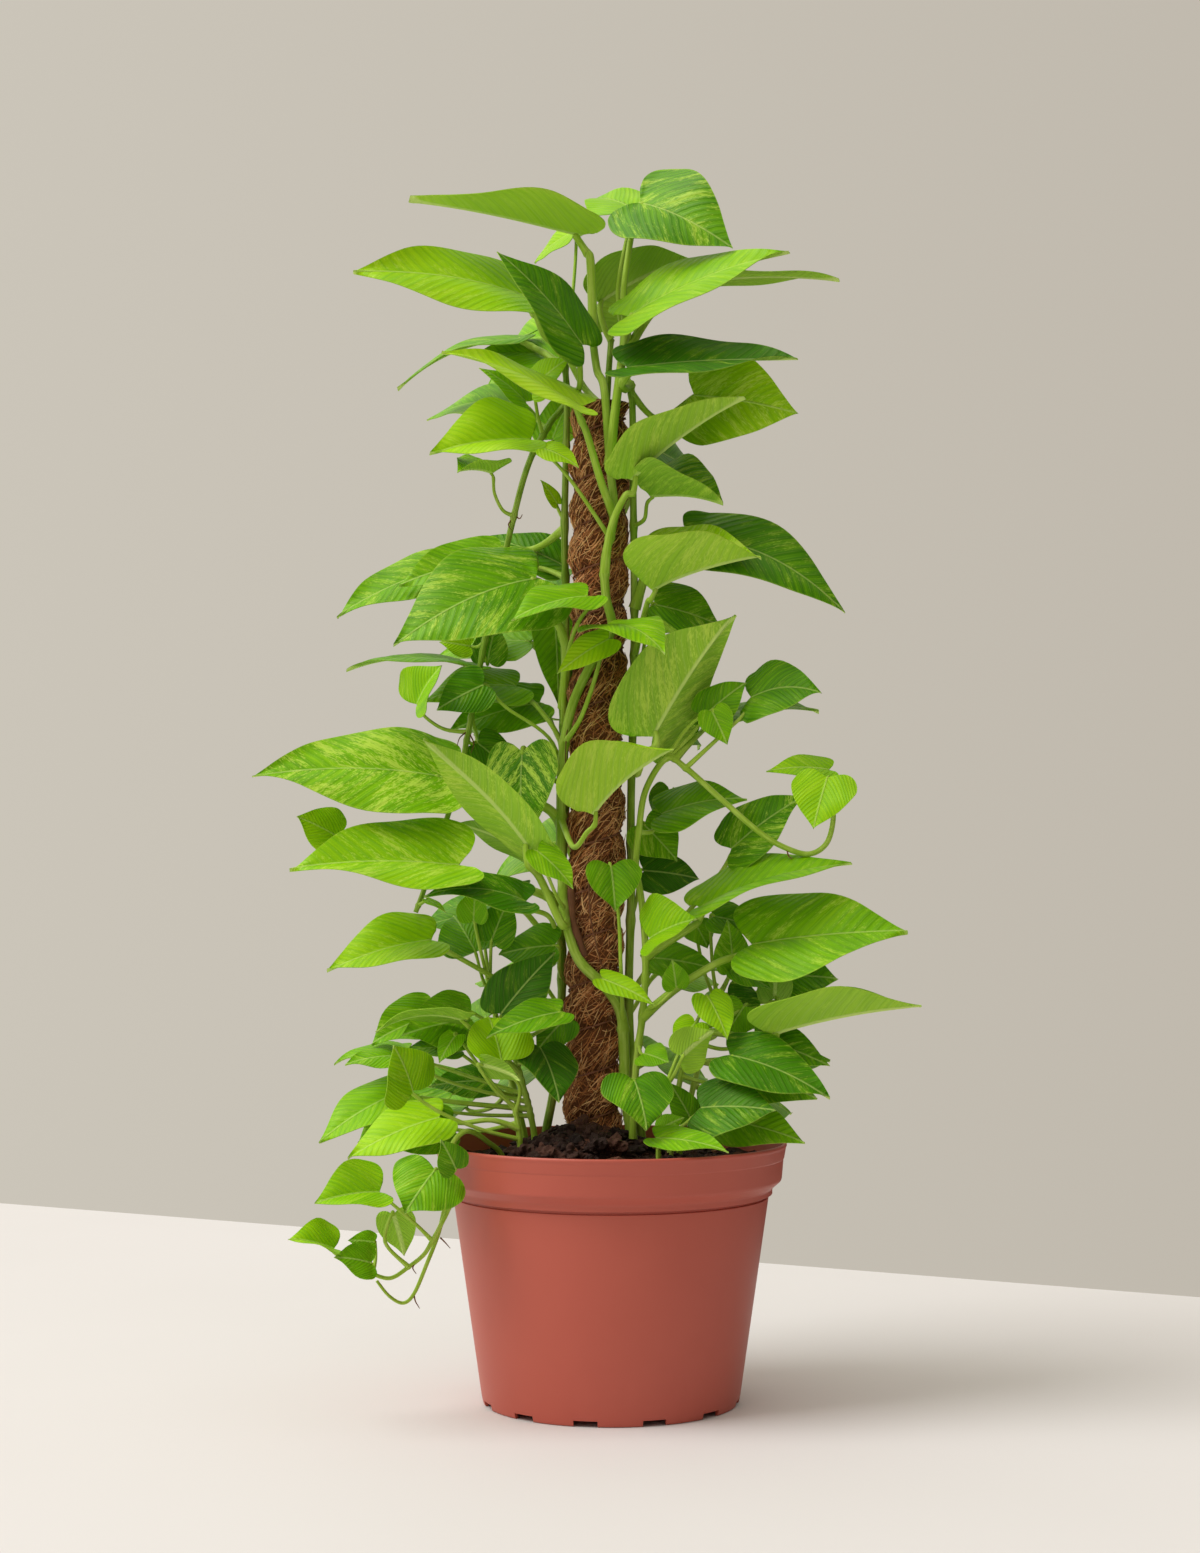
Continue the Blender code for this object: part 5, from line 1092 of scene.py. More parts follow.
        leaf(10.2, (1.3, 74.5, -4.2), (13.5, 75.1, -6.4), 6.4, 66, 0.2, 0.1, arch=0.02, fold=22),
        leaf(10, (6, 72.5, -1.4), (13.5, 71.2, -4.2), 7.2, 18, 0.65, 0.6, (3.4, 70.8, -1.2), arch=0.08),
        leaf(8.4, (2.9, 65.7, -2), (8.1, 65.1, -4.4), 6.4, 84, 0.42, 0.6, (2.4, 63.8, -1.9), fold=42,
             cup=0.1),
        leaf(6.6, (3, 58.5, -3.4), (10.8, 60.9, -5.2), 8, 88, 0.72, 0.75, (2.6, 57.4, -2.6), arch=0.04,
             fold=45, cup=0.1),
        leaf(7.2, (5.8, 62.2, -1), (16.9, 56.8, -3.2), 6, 38, 0.3, 0.15, (3, 60.6, -0.8), arch=0.16),
        leaf(6.2, (3.2, 57.4, -1.2), (8, 55.8, -1.6), 4.6, 36, 0.4, 0.4),
        leaf(5.4, (3, 47.9, -4.6), (8.9, 56.7, -4), 8.2, 142, 0.55, 0.8, (1.9, 45.2, -2.8),
             (2.4, 46.6, -3.8), arch=0.04, fold=28),
        leaf(5.8, (5, 49.2, -1.6), (4.4, 46, -2.6), 3.2, 15, 0.5, 0.1),
        leaf(3, (8.7, 39.8, -1.6), (14, 43.6, -3.4), 4.8, 34, 0.35, 0.5, (4.6, 34, -0.2), (7.6, 37.6, -1),
             arch=0.06),
        leaf(4.2, (2.4, 41.5, 0.8), (4.8, 38.9, 0.2), 3.9, 14, 0.45, 0.4),
        leaf(3.8, (2.4, 38.2, 1.6), (6.4, 37.6, 2.4), 3.6, 22, 0.15, 0.1),
        leaf(4.6, (4.3, 43.8, 2), (3.4, 41.4, 4), 3, 24, 0.4, 0.1),
    ]),
    "vine_arching": (0.27, [
        planted(1.5, -3.4) + trail((1.8, 24, -3.3), (2.3, 28, -3.4), (2.5, 32, -3.3), (2.2, 36, -3),
            (1.8, 38.6, -2.9), (2, 41, -3), (2.5, 44, -3.2), (4, 46.3, -3.4), (5.4, 45.6, -3.6),
            (7.9, 43.4, -3.8), (10.8, 40.9, -4), (12.7, 39.8, -4), (14.3, 39.4, -4), (15.5, 40.1, -4),
            (16, 41.6, -4), (16, 43.4, -3.9), (15.8, 44.8, -3.8)),
    ], [
        leaf(18, (15.7, 45.5, -3.6), (11.2, 45.4, -4.6), 2.6, 46, 0.6, 0.1),
        leaf(17.6, (15.6, 44.9, -4.8), (14.6, 41.2, -6.2), 4.6, 12, 0.66, 0.1),
        leaf(10, (10.1, 50.7, -2.6), (15.2, 51, -4.6), 4.8, 34, 0.35, 0.1, (8, 48, -3.6), (9.5, 49.4, -3.2),
             arch=0.05, sweep=0.1),
        leaf(9.5, (7, 49.1, -2), (15, 49.8, -3.4), 4.2, 70, 0.4, 0.1, (6, 47.7, -2.8), arch=0.07),
        leaf(9.2, (6.8, 49.4, 0), (9.8, 51.8, 0.4), 3.2, 26, 0.4, 0.1, (5.4, 47.6, -1.4)),
        leaf(9, (7.3, 49.7, -0.6), (8.4, 47.3, -1.2), 2.5, 6, 0.5, 0.1, (5.6, 48.6, -1.4)),
        leaf(7, (3.7, 42.3, -1.8), (9.8, 43.4, -3.2), 4.9, 50, 0.4, 0.2, (2.9, 41, -2.4), arch=0.07),
        leaf(4, (6.5, 35.6, -2), (17.4, 38.7, -4.6), 5.8, 66, 0.55, 0.25, (3.9, 32.9, -2.8),
             (5.9, 34.2, -2.4), fold=24),
        leaf(2.9, (10.2, 32.9, -3.8), (21.4, 33.9, -6.4), 7.8, 38, 0.5, 0.35, (4.6, 29.6, -3.6),
             (7.6, 31.5, -3.8), arch=0.03, fold=20),
        leaf(4, (2.8, 33.3, -4.6), (6.2, 34.7, -6), 5.2, 46, 0.62, 0.1, (2.6, 32.6, -4), fold=34),
        leaf(3.6, (3.2, 31.9, -1.8), (7.7, 31, -2.6), 3, 30, 0.4, 0.2),
        leaf(3, (4.7, 29.8, -5), (4.4, 31.8, -5.6), 2, 10, 0.45, 0.1),
        leaf(2.4, (2.4, 25, -4.8), (4.2, 24.3, -6), 2.5, 36, 0.5, 0.1),
    ]),
    "vine_trailing": (0.2, [
        planted(-7.6, -4.6) + over_rim((-8.6, -5.8, 19.2), (-9.9, -7.2, 20.1), (-10.9, -8.3, 19.3),
            (-11.1, -8.6, 17.6)) + trail((-11.6, 14.3, -8.6), (-12.3, 12.6, -8.6), (-12.9, 11.5, -8.6),
            (-13.5, 10.5, -8.7), (-14.6, 9.6, -8.8), (-15.9, 8.8, -9), (-17.2, 9.1, -9.2),
            (-18.4, 9.7, -9.4), (-19.5, 10.4, -9.5)),
        over_rim((-11.1, -8.6, 17.6)) + trail((-11.9, 14.6, -7.9), (-12.4, 12.2, -7.2), (-13.3, 9.8, -6.8),
            (-14.2, 7.7, -6.6), (-15, 7, -6.6), (-16, 7.5, -6.8), (-16.9, 8.6, -7)),
    ], [
        leaf(8, (-16.7, 15, -9.6), (-21.4, 14.2, -11.2), 4.6, 42, 0.6, 0.2, (-14, 12.6, -9),
             (-15.6, 14, -9.4), fold=34),
        leaf(14, (-20, 10.9, -9.6), (-23.3, 11.6, -10.8), 3.6, 56, 0.65, 0.1, fold=36),
        leaf(6.2, (-12.7, 16.6, -10), (-14.9, 13.4, -11.6), 5.4, 16, 0.45, 0.25, (-12.2, 15.2, -9.6),
             cup=0.5),
        leaf(5.2, (-11.2, 16.2, -9.8), (-12.3, 18.3, -10.6), 2.4, 16, 0.35, 0.1),
        leaf(10, (-15.7, 13.4, -8.4), (-14.9, 10.4, -8), 2.8, 164, 0.6, 0.1, (-16.3, 11.4, -9.2), fold=10),
        leaf(12, (-17.1, 11.4, -7.8), (-19, 11.5, -8.2), 1.6, 20, 0.5, 0.1, (-17, 10.2, -8.4)),
        leaf(12.4, (-17.3, 9.9, -10.2), (-20, 10.3, -11.4), 2.9, 30, 0.45, 0.1),
    ]),
    "vine_back": (0.34, [
        planted_by_pole(165) + climb((172, 23, 2.9), (168, 30), (176, 38), (166, 46), (174, 54), (166, 62),
            (172, 69)) + trail((-0.2, 73.5, 2.4), (0, 76.5, 2.8)),
    ], [
        leaf(10, (-0.9, 79.2, 3.2), (5.8, 82.4, 6), 6.8, 136, 0.6, 0.2, arch=0.05),
    ]),
    "shoot_left_front": (0.24, [
        planted(-6.3, -5.6) + trail((-6.7, 19.6, -5.7), (-7, 21.2, -5.6)),
    ], [
        leaf(2, (-12.4, 20.4, -6.2), (-19, 17.4, -8), 4.8, 44, 0.7, 0.25, (-8.6, 20.2, -6.2),
             (-10.6, 20, -6.3)),
        leaf(1.6, (-14.3, 22.3, -8.6), (-15.7, 25.6, -10.4), 4.8, 30, 0.6, 0.2, (-9.6, 19.6, -7),
             (-12.6, 20.9, -8.2)),
        leaf(2.6, (-7.9, 24.5, -6.2), (-8.9, 27.8, -3.6), 4.8, 20, 0.7, 0.1, (-6.6, 22.6, -6), fold=30),
        leaf(3, (-9.3, 24.2, -7.2), (-6.5, 23.1, -8.2), 1.9, 140, 0.4, 0.1, (-8.4, 22.4, -6.6)),
        leaf(2.2, (-11.8, 19.7, -3.8), (-17.4, 18.7, -5.2), 3.9, 20, 0.45, 0.2, (-9.4, 19.4, -4.6)),
        leaf(2.8, (-11.2, 26.3, -5.2), (-12.4, 24.3, -6.2), 1.9, 30, 0.5, 0.1, (-9, 23.4, -5.4)),
    ]),
    "shoot_left_mid": (0.26, [
        planted(-5.4, -2.6) + trail((-5.9, 21, -2.6), (-6.6, 23.6, -2.4), (-7.4, 26.2, -2)),
    ], [
        leaf(4, (-12.9, 27.7, -1.4), (-17.3, 25.7, -3.2), 4.6, 40, 0.5, 0.25, (-10.6, 28.2, -0.8), fold=24),
        leaf(3.4, (-10.3, 27.5, -3), (-15.1, 26.3, -4.6), 4.9, 26, 0.45, 0.2),
        leaf(3, (-10.6, 26.4, -4.6), (-17, 25.6, -6), 3.6, 104, 0.5, 0.5, (-8.8, 25.4, -3.6), arch=0.12),
        leaf(2.8, (-11.2, 25.4, -3.4), (-15.3, 25, -4.2), 2.8, 56, 0.4, 0.2),
        leaf(2.4, (-14.8, 25.2, -1.2), (-20, 24.2, -2.4), 3, 68, 0.5, 0.2, (-10.4, 23.4, -1.4), arch=0.1),
        leaf(2.2, (-15.5, 24.8, -3), (-19.2, 24.2, -4.2), 2.8, 54, 0.5, 0.2, (-11.2, 22.8, -2.2)),
        leaf(2, (-15.2, 22.2, -3.4), (-21.1, 18.6, -5.8), 4.8, 46, 0.55, 0.2, (-10.4, 21.4, -2.8)),
        leaf(1.8, (-14.5, 21.2, -1.8), (-18.3, 18.6, -2.8), 2.9, 38, 0.45, 0.1, (-9.8, 20.6, -1.8)),
        leaf(3.8, (-7.9, 27.9, -4.2), (-4, 32.3, -3.6), 4.6, 22, 0.12, 0, (-7.9, 26.6, -3.2)),
        leaf(3.2, (-5.1, 25.4, -4.4), (-3.7, 21.5, -7.4), 4.8, 34, 0.15, 0.1),
        leaf(3.5, (-3.7, 28, -3.6), (-9, 26.1, -5.4), 3.5, 48, 0.4, 0.2, (-5.8, 26.2, -2.6), fold=18),
    ]),
    "shoot_left_back": (0.26, [
        planted(-6.2, 2.2) + trail((-6.9, 22, 2.3), (-8, 26, 2.2), (-8.6, 29.4, 1.6)),
    ], [
        leaf(4, (-9.8, 32.4, -0.4), (-11.4, 35, 2.6), 4.8, 18, 0.4, 0.1),
        leaf(3.9, (-8.6, 33.2, 0), (-7.3, 36.3, 1), 3, 10, 0.35, 0.1),
        leaf(3.8, (-9.9, 34.6, -2.2), (-9.7, 37, -2), 2.4, 20, 0.5, 0.1, (-9.4, 32.4, -1.8), fold=30),
        leaf(3.4, (-9.7, 34.9, 3.2), (-13.6, 34.1, 3.6), 3, 54, 0.35, 0.1),
        leaf(3, (-3.3, 27.5, -1.4), (-5.4, 25.1, -1.8), 3, 20, 0.35, 0.1, (-5.6, 26.4, 0.4)),
        leaf(2.6, (-11.8, 22.6, 4), (-17.6, 22.4, 6.4), 4.8, 50, 0.4, 0.2),
        leaf(2.2, (-10.4, 21.2, 6.6), (-14.4, 20.2, 11), 4.8, 64, 0.45, 0.2),
        leaf(3.2, (-9, 27.6, 6.6), (-12.4, 27, 12), 5.2, 66, 0.4, 0.2),
        leaf(2, (-8.8, 23, 0.6), (-13.2, 22.6, 0.2), 3, 34, 0.3, 0.5),
    ]),
    "shoot_right_front": (0.22, [
        planted(3.3, -6.4) + trail((3.5, 20.6, -6.5), (3.9, 22.6, -6.4)),
    ], [
        leaf(1.8, (1.7, 23.1, -8.8), (2.6, 19.5, -11), 5.2, 22, 0.34, 0.25, (2.6, 22.6, -7.4)),
        leaf(1.4, (3.3, 18.9, -9.6), (8.5, 17.9, -11.6), 2.9, 54, 0.5, 0.2),
        leaf(1.9, (6.5, 21.1, -7.4), (11.9, 20.9, -9.6), 5.2, 32, 0.2, 0.2, (4.8, 19.6, -7.2)),
        leaf(3, (5.1, 24.8, -7.8), (7.4, 26.7, -6.4), 3.3, 160, 0.65, 0.1),
        leaf(1.7, (3.5, 19.5, -7.4), (5.3, 20.4, -8.4), 1.7, 24, 0.5, 0.1),
        leaf(2.8, (6.1, 27.2, -7.2), (4.6, 25.3, -8.6), 2.5, 20, 0.7, 0.1, (4.9, 25, -6.4)),
    ]),
    "shoot_right_mid": (0.26, [
        planted(4.2, -2.6) + trail((4.6, 21, -2.7), (5.2, 24, -2.9), (6, 27, -3)),
    ], [
        leaf(2.2, (7.7, 20.3, -5.2), (14, 18.6, -7.4), 4.2, 32, 0.5, 0.3),
        leaf(2.8, (9.7, 23.4, -4.6), (14.9, 21.8, -6.2), 4, 26, 0.4, 0.2),
        leaf(3, (8.6, 24.9, -5.8), (15.8, 21.7, -8), 5.2, 38, 0.25, 0.25, (6.4, 24.4, -4.4), arch=0.09),
        leaf(3.6, (10.6, 26, -3.2), (15.8, 24.1, -4.8), 3.7, 34, 0.35, 0.3),
        leaf(3.8, (11.6, 26.4, -4.2), (22.4, 28.5, -6.2), 6, 92, 0.6, 0.15, (8.4, 26.4, -3.6), arch=0.03,
             fold=40, cup=0.1),
        leaf(4, (7, 29.1, -5), (8.4, 26, -6.8), 2.9, 26, 0.65, 0.1),
        leaf(3.9, (9.6, 28.4, -2.6), (8.2, 26.2, -2.2), 3, 10, 0.5, 0.1),
        leaf(2.4, (5.7, 20.4, -4.6), (4.2, 22.9, -4.2), 2.2, 20, 0.4, 0.1),
    ]),
    "shoot_right_back": (0.26, [
        planted(5, 2) + trail((5.8, 22, 2), (6.8, 26, 1.6), (7.6, 29.4, 0.8)),
    ], [
        leaf(4, (7.4, 34.9, -0.4), (10.8, 33.9, -0.6), 3, 36, 0.4, 0.1),
        leaf(3.9, (8.8, 31.2, -0.8), (8.4, 34.7, -1.2), 2.8, 18, 0.5, 0.4),
        leaf(3.7, (8.9, 31, -1.6), (11.6, 29.6, -2.4), 2, 36, 0.4, 0.1),
        leaf(3.8, (6.1, 34.3, 0.6), (7, 32.6, 0.2), 2.4, 20, 0.5, 0.1),
        leaf(3.6, (11.8, 29, -1.4), (12.2, 32.2, -1.8), 2.9, 150, 0.3, 0.1, (9.6, 28.6, -0.4)),
        leaf(3.4, (12, 30.6, 0.6), (16.4, 30.4, 0.2), 4.4, 22, 0.35, 0.2, (9.4, 28.6, 1)),
        leaf(3.2, (8.4, 29.2, -0.2), (11, 27.4, -0.8), 3.2, 20, 0.25, 0.5),
        leaf(2.6, (10.4, 25, 4), (15.8, 24.4, 6.4), 5, 52, 0.4, 0.2),
        leaf(2.2, (9, 22, 6), (13, 20.6, 10.4), 5, 64, 0.45, 0.2),
        leaf(3, (8.4, 28, 6), (11.6, 27.4, 11.4), 5.4, 66, 0.4, 0.2),
    ]),
    "shoot_back": (0.26, [
        planted(-1, 6.2) + trail((-1.2, 22, 6.6), (-1, 26, 7)),
    ], [
        leaf(2.2, (-4.8, 24, 9.6), (-8.6, 22.4, 14.6), 5.4, 66, 0.4, 0.2),
        leaf(2.4, (3, 24.6, 9.8), (7, 23, 14.8), 5.4, 66, 0.5, 0.2),
        leaf(2.7, (-1.4, 28.6, 10.4), (-1.8, 27.4, 17.4), 6, 70, 0.55, 0.2),
        leaf(2, (-1, 21.6, 9.4), (0.4, 19.6, 14.6), 4.8, 70, 0.4, 0.1),
        leaf(3, (-5.4, 30.6, 8.6), (-9.8, 30, 13.4), 5.2, 64, 0.45, 0.2),
        leaf(3, (3.4, 30.8, 8.8), (7.8, 30, 13.8), 5.2, 64, 0.5, 0.2),
    ]),
}

# Steps by which a leaf may be bent back or up to settle clear of the others
SETTLE_STEP = 0.5
SHIFTS = 14
LIFTS = 3
LIFT_COST = 2.2
GUARD_SPARE = 0.15
GUARD_SIDES = 12

# Leaves on the far side of the climbing stem, spread by a rule
BACK_LEAF_COUNT = 10
BACK_LEAF_LOWEST = 30.0
BACK_LEAF_HIGHEST = 72.0
BACK_LEAF_SPREAD = 110.0
BACK_LEAF_SEED = 11
BACK_LEAF_LENGTHS = (7.5, 10.5)
BACK_LEAF_REACHES = (6.0, 8.5)
BACK_LEAF_RISES = (4.0, 6.0)
BACK_LEAF_DROOPS = (1.0, 4.0)
BACK_LEAF_TILTS = (58.0, 74.0)
BACK_LEAF_MARBLE = 0.15
GOLDEN_ANGLE = 137.5


def back_leaves(route):
    """Leaves round the rear half of the plant, turned by the golden angle as they climb."""
    draw = random.Random(BACK_LEAF_SEED)
    rows = []
    for index in range(BACK_LEAF_COUNT):
        share = index / (BACK_LEAF_COUNT - 1)
        height = BACK_LEAF_LOWEST + (BACK_LEAF_HIGHEST - BACK_LEAF_LOWEST) * share
        swing = (index * GOLDEN_ANGLE) % BACK_LEAF_SPREAD - BACK_LEAF_SPREAD / 2.0
        turn = math.radians(swing)
        length = draw.uniform(*BACK_LEAF_LENGTHS)
        reach = draw.uniform(*BACK_LEAF_REACHES)
        across = -1.0 + reach * math.sin(turn)
        depth = reach * math.cos(turn)
        base = (across, height + draw.uniform(*BACK_LEAF_RISES), depth)
        tip = (across + length * math.sin(turn), base[1] - draw.uniform(*BACK_LEAF_DROOPS),
               depth + length * math.cos(turn))
        tone = 0.3 + 0.05 * (index * 3 % 7)
        rows.append(leaf(nearest_place(route, height), base, tip, BLADE_SHARE * length,
                         draw.uniform(*BACK_LEAF_TILTS), tone, BACK_LEAF_MARBLE, arch=0.08))
    return rows


def nearest_place(route, height):
    """Place along a route that climbs through a height."""
    steps = 20
    places = [index / steps for index in range((len(route) - 1) * steps + 1)]
    return min(places, key=lambda place: abs(spline(route, place).z - height * CM))


def stem_thickness(radius, order):
    """A stem's radius at its foot in metres; order 0 is the main stem, others its branches."""
    return radius * CM * (1.0 if order == 0 else BRANCH_SHARE)


def stem_tubes(radius, routes):
    """Plain tubes of one vine's stems."""
    tubes = []
    for order, path in enumerate(routes):
        last = len(path) - 1
        radii = [stem_thickness(radius, order) * (1.0 - STEM_TAPER * step / last)
                 for step in range(len(path))]
        tubes.append(tube(path, radii, STEM_SIDES))
    return tubes


def obstacle(vine_name, kind, solid):
    """A solid to keep clear of: its vine, its kind, its lowest and highest corner and its tree."""
    corners = [[limit(values) for values in zip(*solid[0])] for limit in (min, max)]
    return vine_name, kind, *corners, BVHTree.FromPolygons(*solid)


def meets(solid, things, own=None):
    """How many of the things a solid's surface cuts, but for the stems and stalks of its own vine."""
    _, _, low, high, tree = obstacle("", "", solid)
    count = 0
    for vine_name, kind, other_low, other_high, other in things:
        if vine_name == own and kind != "blade":
            continue
        if any(low[axis] > other_high[axis] or high[axis] < other_low[axis] for axis in range(3)):
            continue
        count += 1 if tree.overlap(other) else 0
    return count


def guards():
    """Plain cylinders round the pole and the pot, that leaves keep clear of."""
    pole_path = [Vector((pole_across(height), 0.0, height)) * CM for height in (POLE_FOOT, POLE_TOP)]
    pot_path = [Vector((0.0, 0.0, height)) * CM for height in (0.5, POT_HEIGHT + 0.1)]
    pot_reaches = [(POT_FOOT_RADIUS + 2.0 * GUARD_SPARE) * CM, (POT_RIM_RADIUS + 0.2) * CM]
    return [tube(pole_path, [(POLE_RADIUS + GUARD_SPARE) * CM] * 2, GUARD_SIDES),
            tube(pot_path, pot_reaches, 2 * GUARD_SIDES)]


def settle_leaves():
    """Bend every leaf clear of the stems, the pole, the pot and the leaves before it."""
    things = [obstacle("", "stem", solid) for solid in guards()]
    rows = []
    for name, (radius, routes, leaves) in VINES.items():
        things.extend(obstacle(name, "stem", solid) for solid in stem_tubes(radius, routes))
        rows.extend((name, row) for row in leaves)
    rows.extend(("vine_back", row) for row in back_leaves(VINES["vine_back"][1][0]))
    tries = [(back * SETTLE_STEP, up * SETTLE_STEP)
             for back in range(-SHIFTS, SHIFTS + 1) for up in range(-LIFTS, LIFTS + 1)]
    tries.sort(key=lambda way: (abs(way[0]) + LIFT_COST * abs(way[1]), *way))
    settled = {name: [] for name in VINES}
    for name, row in rows:
        fewest = None
        for shift, lift in tries:
            shape, stalk = placed(row, VINES[name][1][0], shift, lift)
            length = shape["axes"][0]
            hits = meets(plain_blade(shape, TEST_THICKNESS), things)
            hits += meets(stalk_tube(stalk, length, STALK_SPARE * CM), things, name)
            if fewest is None or hits < fewest:
                fewest, best = hits, (shape, stalk)
            if hits == 0:
                break
        shape, stalk = best
        settled[name].append(best)
        things.append(obstacle(name, "blade", plain_blade(shape, BLADE_THICKNESS)))
        things.append(obstacle(name, "stalk", stalk_tube(stalk, shape["axes"][0])))
    return settled


# A point's side mark: below 1 it is stem, from 1 the upper face and from 2 the
# underside, and the half above a whole number runs from the rib to the edge.
STEM, UPPER, UNDER = 0.0, 1.0, 2.0


def fine_blade(shape):
    """Blade with pressed-in veins and a raised rib, with the marks that its finish reads."""
    shape = dict(shape, outline=FINE_OUTLINE)
    length, _, _, normal = shape["axes"]
    veins = min(max(VEINS_AT_LEAST_SIZE + VEINS_PER_METRE * length, FEWEST_VEINS), MOST_VEINS)
    rows = round(veins * (3.5 if length > MIDDLING_LEAF * CM else 2.5))
    columns = 14 if length > BROAD_LEAF * CM else 10
    seed = (shape["phase"] * 7.31) % 97.0
    size = min(1.0, length / (GROWN_LEAF * CM))
    upper, lower, carriage, edges = [], [], [], []

    def add(place, across):
        point = blade_point(shape, place, across)
        rib, edge, reach = outline_at(place, FINE_OUTLINE)
        off_rib = abs(across) * max(reach, 0.0) * shape["width"] / 2.0
        off_share = off_rib * CM / length
        start = rib + (edge - rib) * abs(across) - VEIN_SLANT * off_share - VEIN_CURVE * off_share ** 2
        vein = start * veins + 0.25 * math.copysign(1.0, across)
        calm = min(off_rib / 0.4, 1.0) * (1.0 - abs(across) ** 4.0) * size
        relief = -VEIN_RELIEF * calm * math.cos(2.0 * math.pi * vein)
        sway = noise.noise(Vector((place * 3.2, across * 1.4, seed)))
        relief += SWAY * size * sway * (0.3 + 0.7 * abs(across))
        ridge = RIB_DEPTH * (1.0 - 0.75 * place) * math.exp(-(off_rib / RIB_SPREAD) ** 2)
        ridge *= min(1.0, length / (GROWN_RIB * CM))
        upper.append(point + normal * relief * CM)
        lower.append(point + normal * (relief - LEAF_THICKNESS - ridge) * CM)
        carriage.append((vein, math.copysign(off_rib, across), seed))
        edges.append(abs(across))

    for row in range(rows):
        for column in range(columns + 1):
            even = 2.0 * column / columns - 1.0
            add(row / rows, math.copysign(abs(even) ** 1.25, even))
    add(1.0, 0.0)
    colouring = [(shape["tone"], shape["marble"], face + 0.5 * edge)
                 for face in (UPPER, UNDER) for edge in edges]
    return upper + lower, blade_faces(rows, columns, False), carriage * 2, colouring


def fine_tube(path, radii, sides, tone, seed):
    """Round stem or stalk with the marks that its finish reads."""
    vertices, faces = tube(path, radii, sides)
    colouring = [(tone, 0.0, STEM)] * len(vertices)
    carriage = [(index // sides / 8.0, index % sides / sides, seed) for index in range(len(vertices))]
    return vertices, faces, carriage, colouring


def fine_stem(path, thick, nodes, tone, seed):
    """Smooth stem that swells a little at each node where a leaf stalk leaves it."""
    per_span = 10
    centre = smooth_route(path, per_span)
    last = len(centre) - 1
    radii = []
    for index in range(len(centre)):
        place = index / last * (len(path) - 1)
        swell = sum(math.exp(-((place - node) / NODE_REACH) ** 2) for node in nodes)
        radii.append(thick * (1.0 - STEM_TAPER * index / last) * (1.0 + NODE_SWELL * min(swell, 1.0)))
    return fine_tube(centre, radii, 10, tone, seed)


def fine_stalk(stalk, route, shape):
    """Smooth leaf stalk that leaves its node in a sheath and ends under the blade."""
    stalk = [spline(route, min(shape["root"], len(route) - 1.0))] + stalk[1:]
    path = smooth_route(stalk, 8)
    last = len(path) - 1
    thick = STALK_FULLNESS * stalk_radius(shape["axes"][0])
    radii = []
    for index in range(last + 1):
        share = index / last
        sheath = 0.35 * math.exp(-(share / 0.12) ** 2)
        knee = 0.22 * math.exp(-((share - 0.72) / 0.05) ** 2)
        radii.append(thick * (1.22 - 0.35 * share + sheath + knee))
    radii[-1] = thick * 0.25
    return fine_tube(path, radii, 8, STALK_TONE, shape["tone"])


def joined(name, parts):
    """One piece from parts that carry their marks."""
    piece = from_points(name, *gathered([part[:2] for part in parts]))
    for place, label in ((2, "carriage"), (3, "colouring")):
        layer = piece.data.attributes.new(label, "FLOAT_VECTOR", "POINT")
        layer.data.foreach_set("vector", [number for part in parts for row in part[place] for number in row])
    piece.data.shade_smooth()
    piece.data.set_sharp_from_angle(angle=math.radians(60.0))
    return piece


# Leaf finish. Colour runs from dark green to lime by the leaf's own tone, and is
# streaked with yellow along the side veins by its share of marbling. It is also
# painted a little darker along the vein valleys and lighter between them, as painted shade.

pothos = Finish("pothos", Specular_IOR_Level=0.30, Specular_Tint=(0.75, 1.0, 0.35, 1.0))
vein_place, rib_offset, seed_place = pothos.three("carriage")
tone, marbling, side = pothos.three("colouring")
is_leaf = pothos.step(side, 0.4, 0.6)
is_under = pothos.step(side, 1.7, 1.9)
edge_place = 2.0 * pothos.node("ShaderNodeMath", {"operation": "MODULO"}, {0: side, 1: 1.0}) * is_leaf
off_rib = abs(rib_offset)
leaf_place = pothos.node("ShaderNodeCombineXYZ", {}, {0: vein_place, 1: rib_offset, 2: seed_place})
broad = pothos.grain(1.0, 2.0, place=leaf_place, stretch=(0.30, 0.35, 1.0))
blotch = pothos.grain(1.0, 3.0, place=leaf_place, stretch=(0.8, 0.6, 1.0))
fleck = pothos.grain(1.0, 4.0, 0.65, place=leaf_place, stretch=(7.0, 4.5, 1.0))
fibre_lines = pothos.grain(1.0, 2.0, place=leaf_place, stretch=(9.0, 0.25, 1.0))
vein_wave = pothos.node("ShaderNodeMath", {"operation": "PINGPONG"}, {0: vein_place, 1: 0.5})
between = pothos.step(vein_wave, 0.02, 0.40)
# The between term darkens the colour along each vein's valley and lightens it midway between veins: painted
# shade of the vein valleys.
ground = pothos.ramp(
    tone + 0.30 * (broad - 0.5) + 0.34 * (fibre_lines - 0.5) + 0.08 * (between - 0.5),
    (0.0, paint(24, 72, 2)), (0.3, paint(64, 126, 0)), (0.55, paint(118, 180, 0)),
    (0.8, paint(162, 212, 8)), (1.0, paint(190, 226, 50)))
cloud = pothos.step(blotch, 0.50, 0.72) * (0.10 + 0.40 * marbling)
clouded = pothos.mix(cloud, ground, paint(176, 216, 44))
streak = pothos.step(fleck * 0.60 + blotch * 0.40 + marbling * 0.11, 0.575, 0.645)
faced = pothos.mix(is_under * (0.10 + 0.70 * fibre_lines), clouded, paint(172, 210, 82))
marbled = pothos.mix(streak * (0.22 + 0.60 * marbling), faced, paint(202, 230, 90))
vein_line = (1.0 - pothos.step(vein_wave, 0.0, 0.10)) * pothos.step(off_rib, 0.05, 0.25)
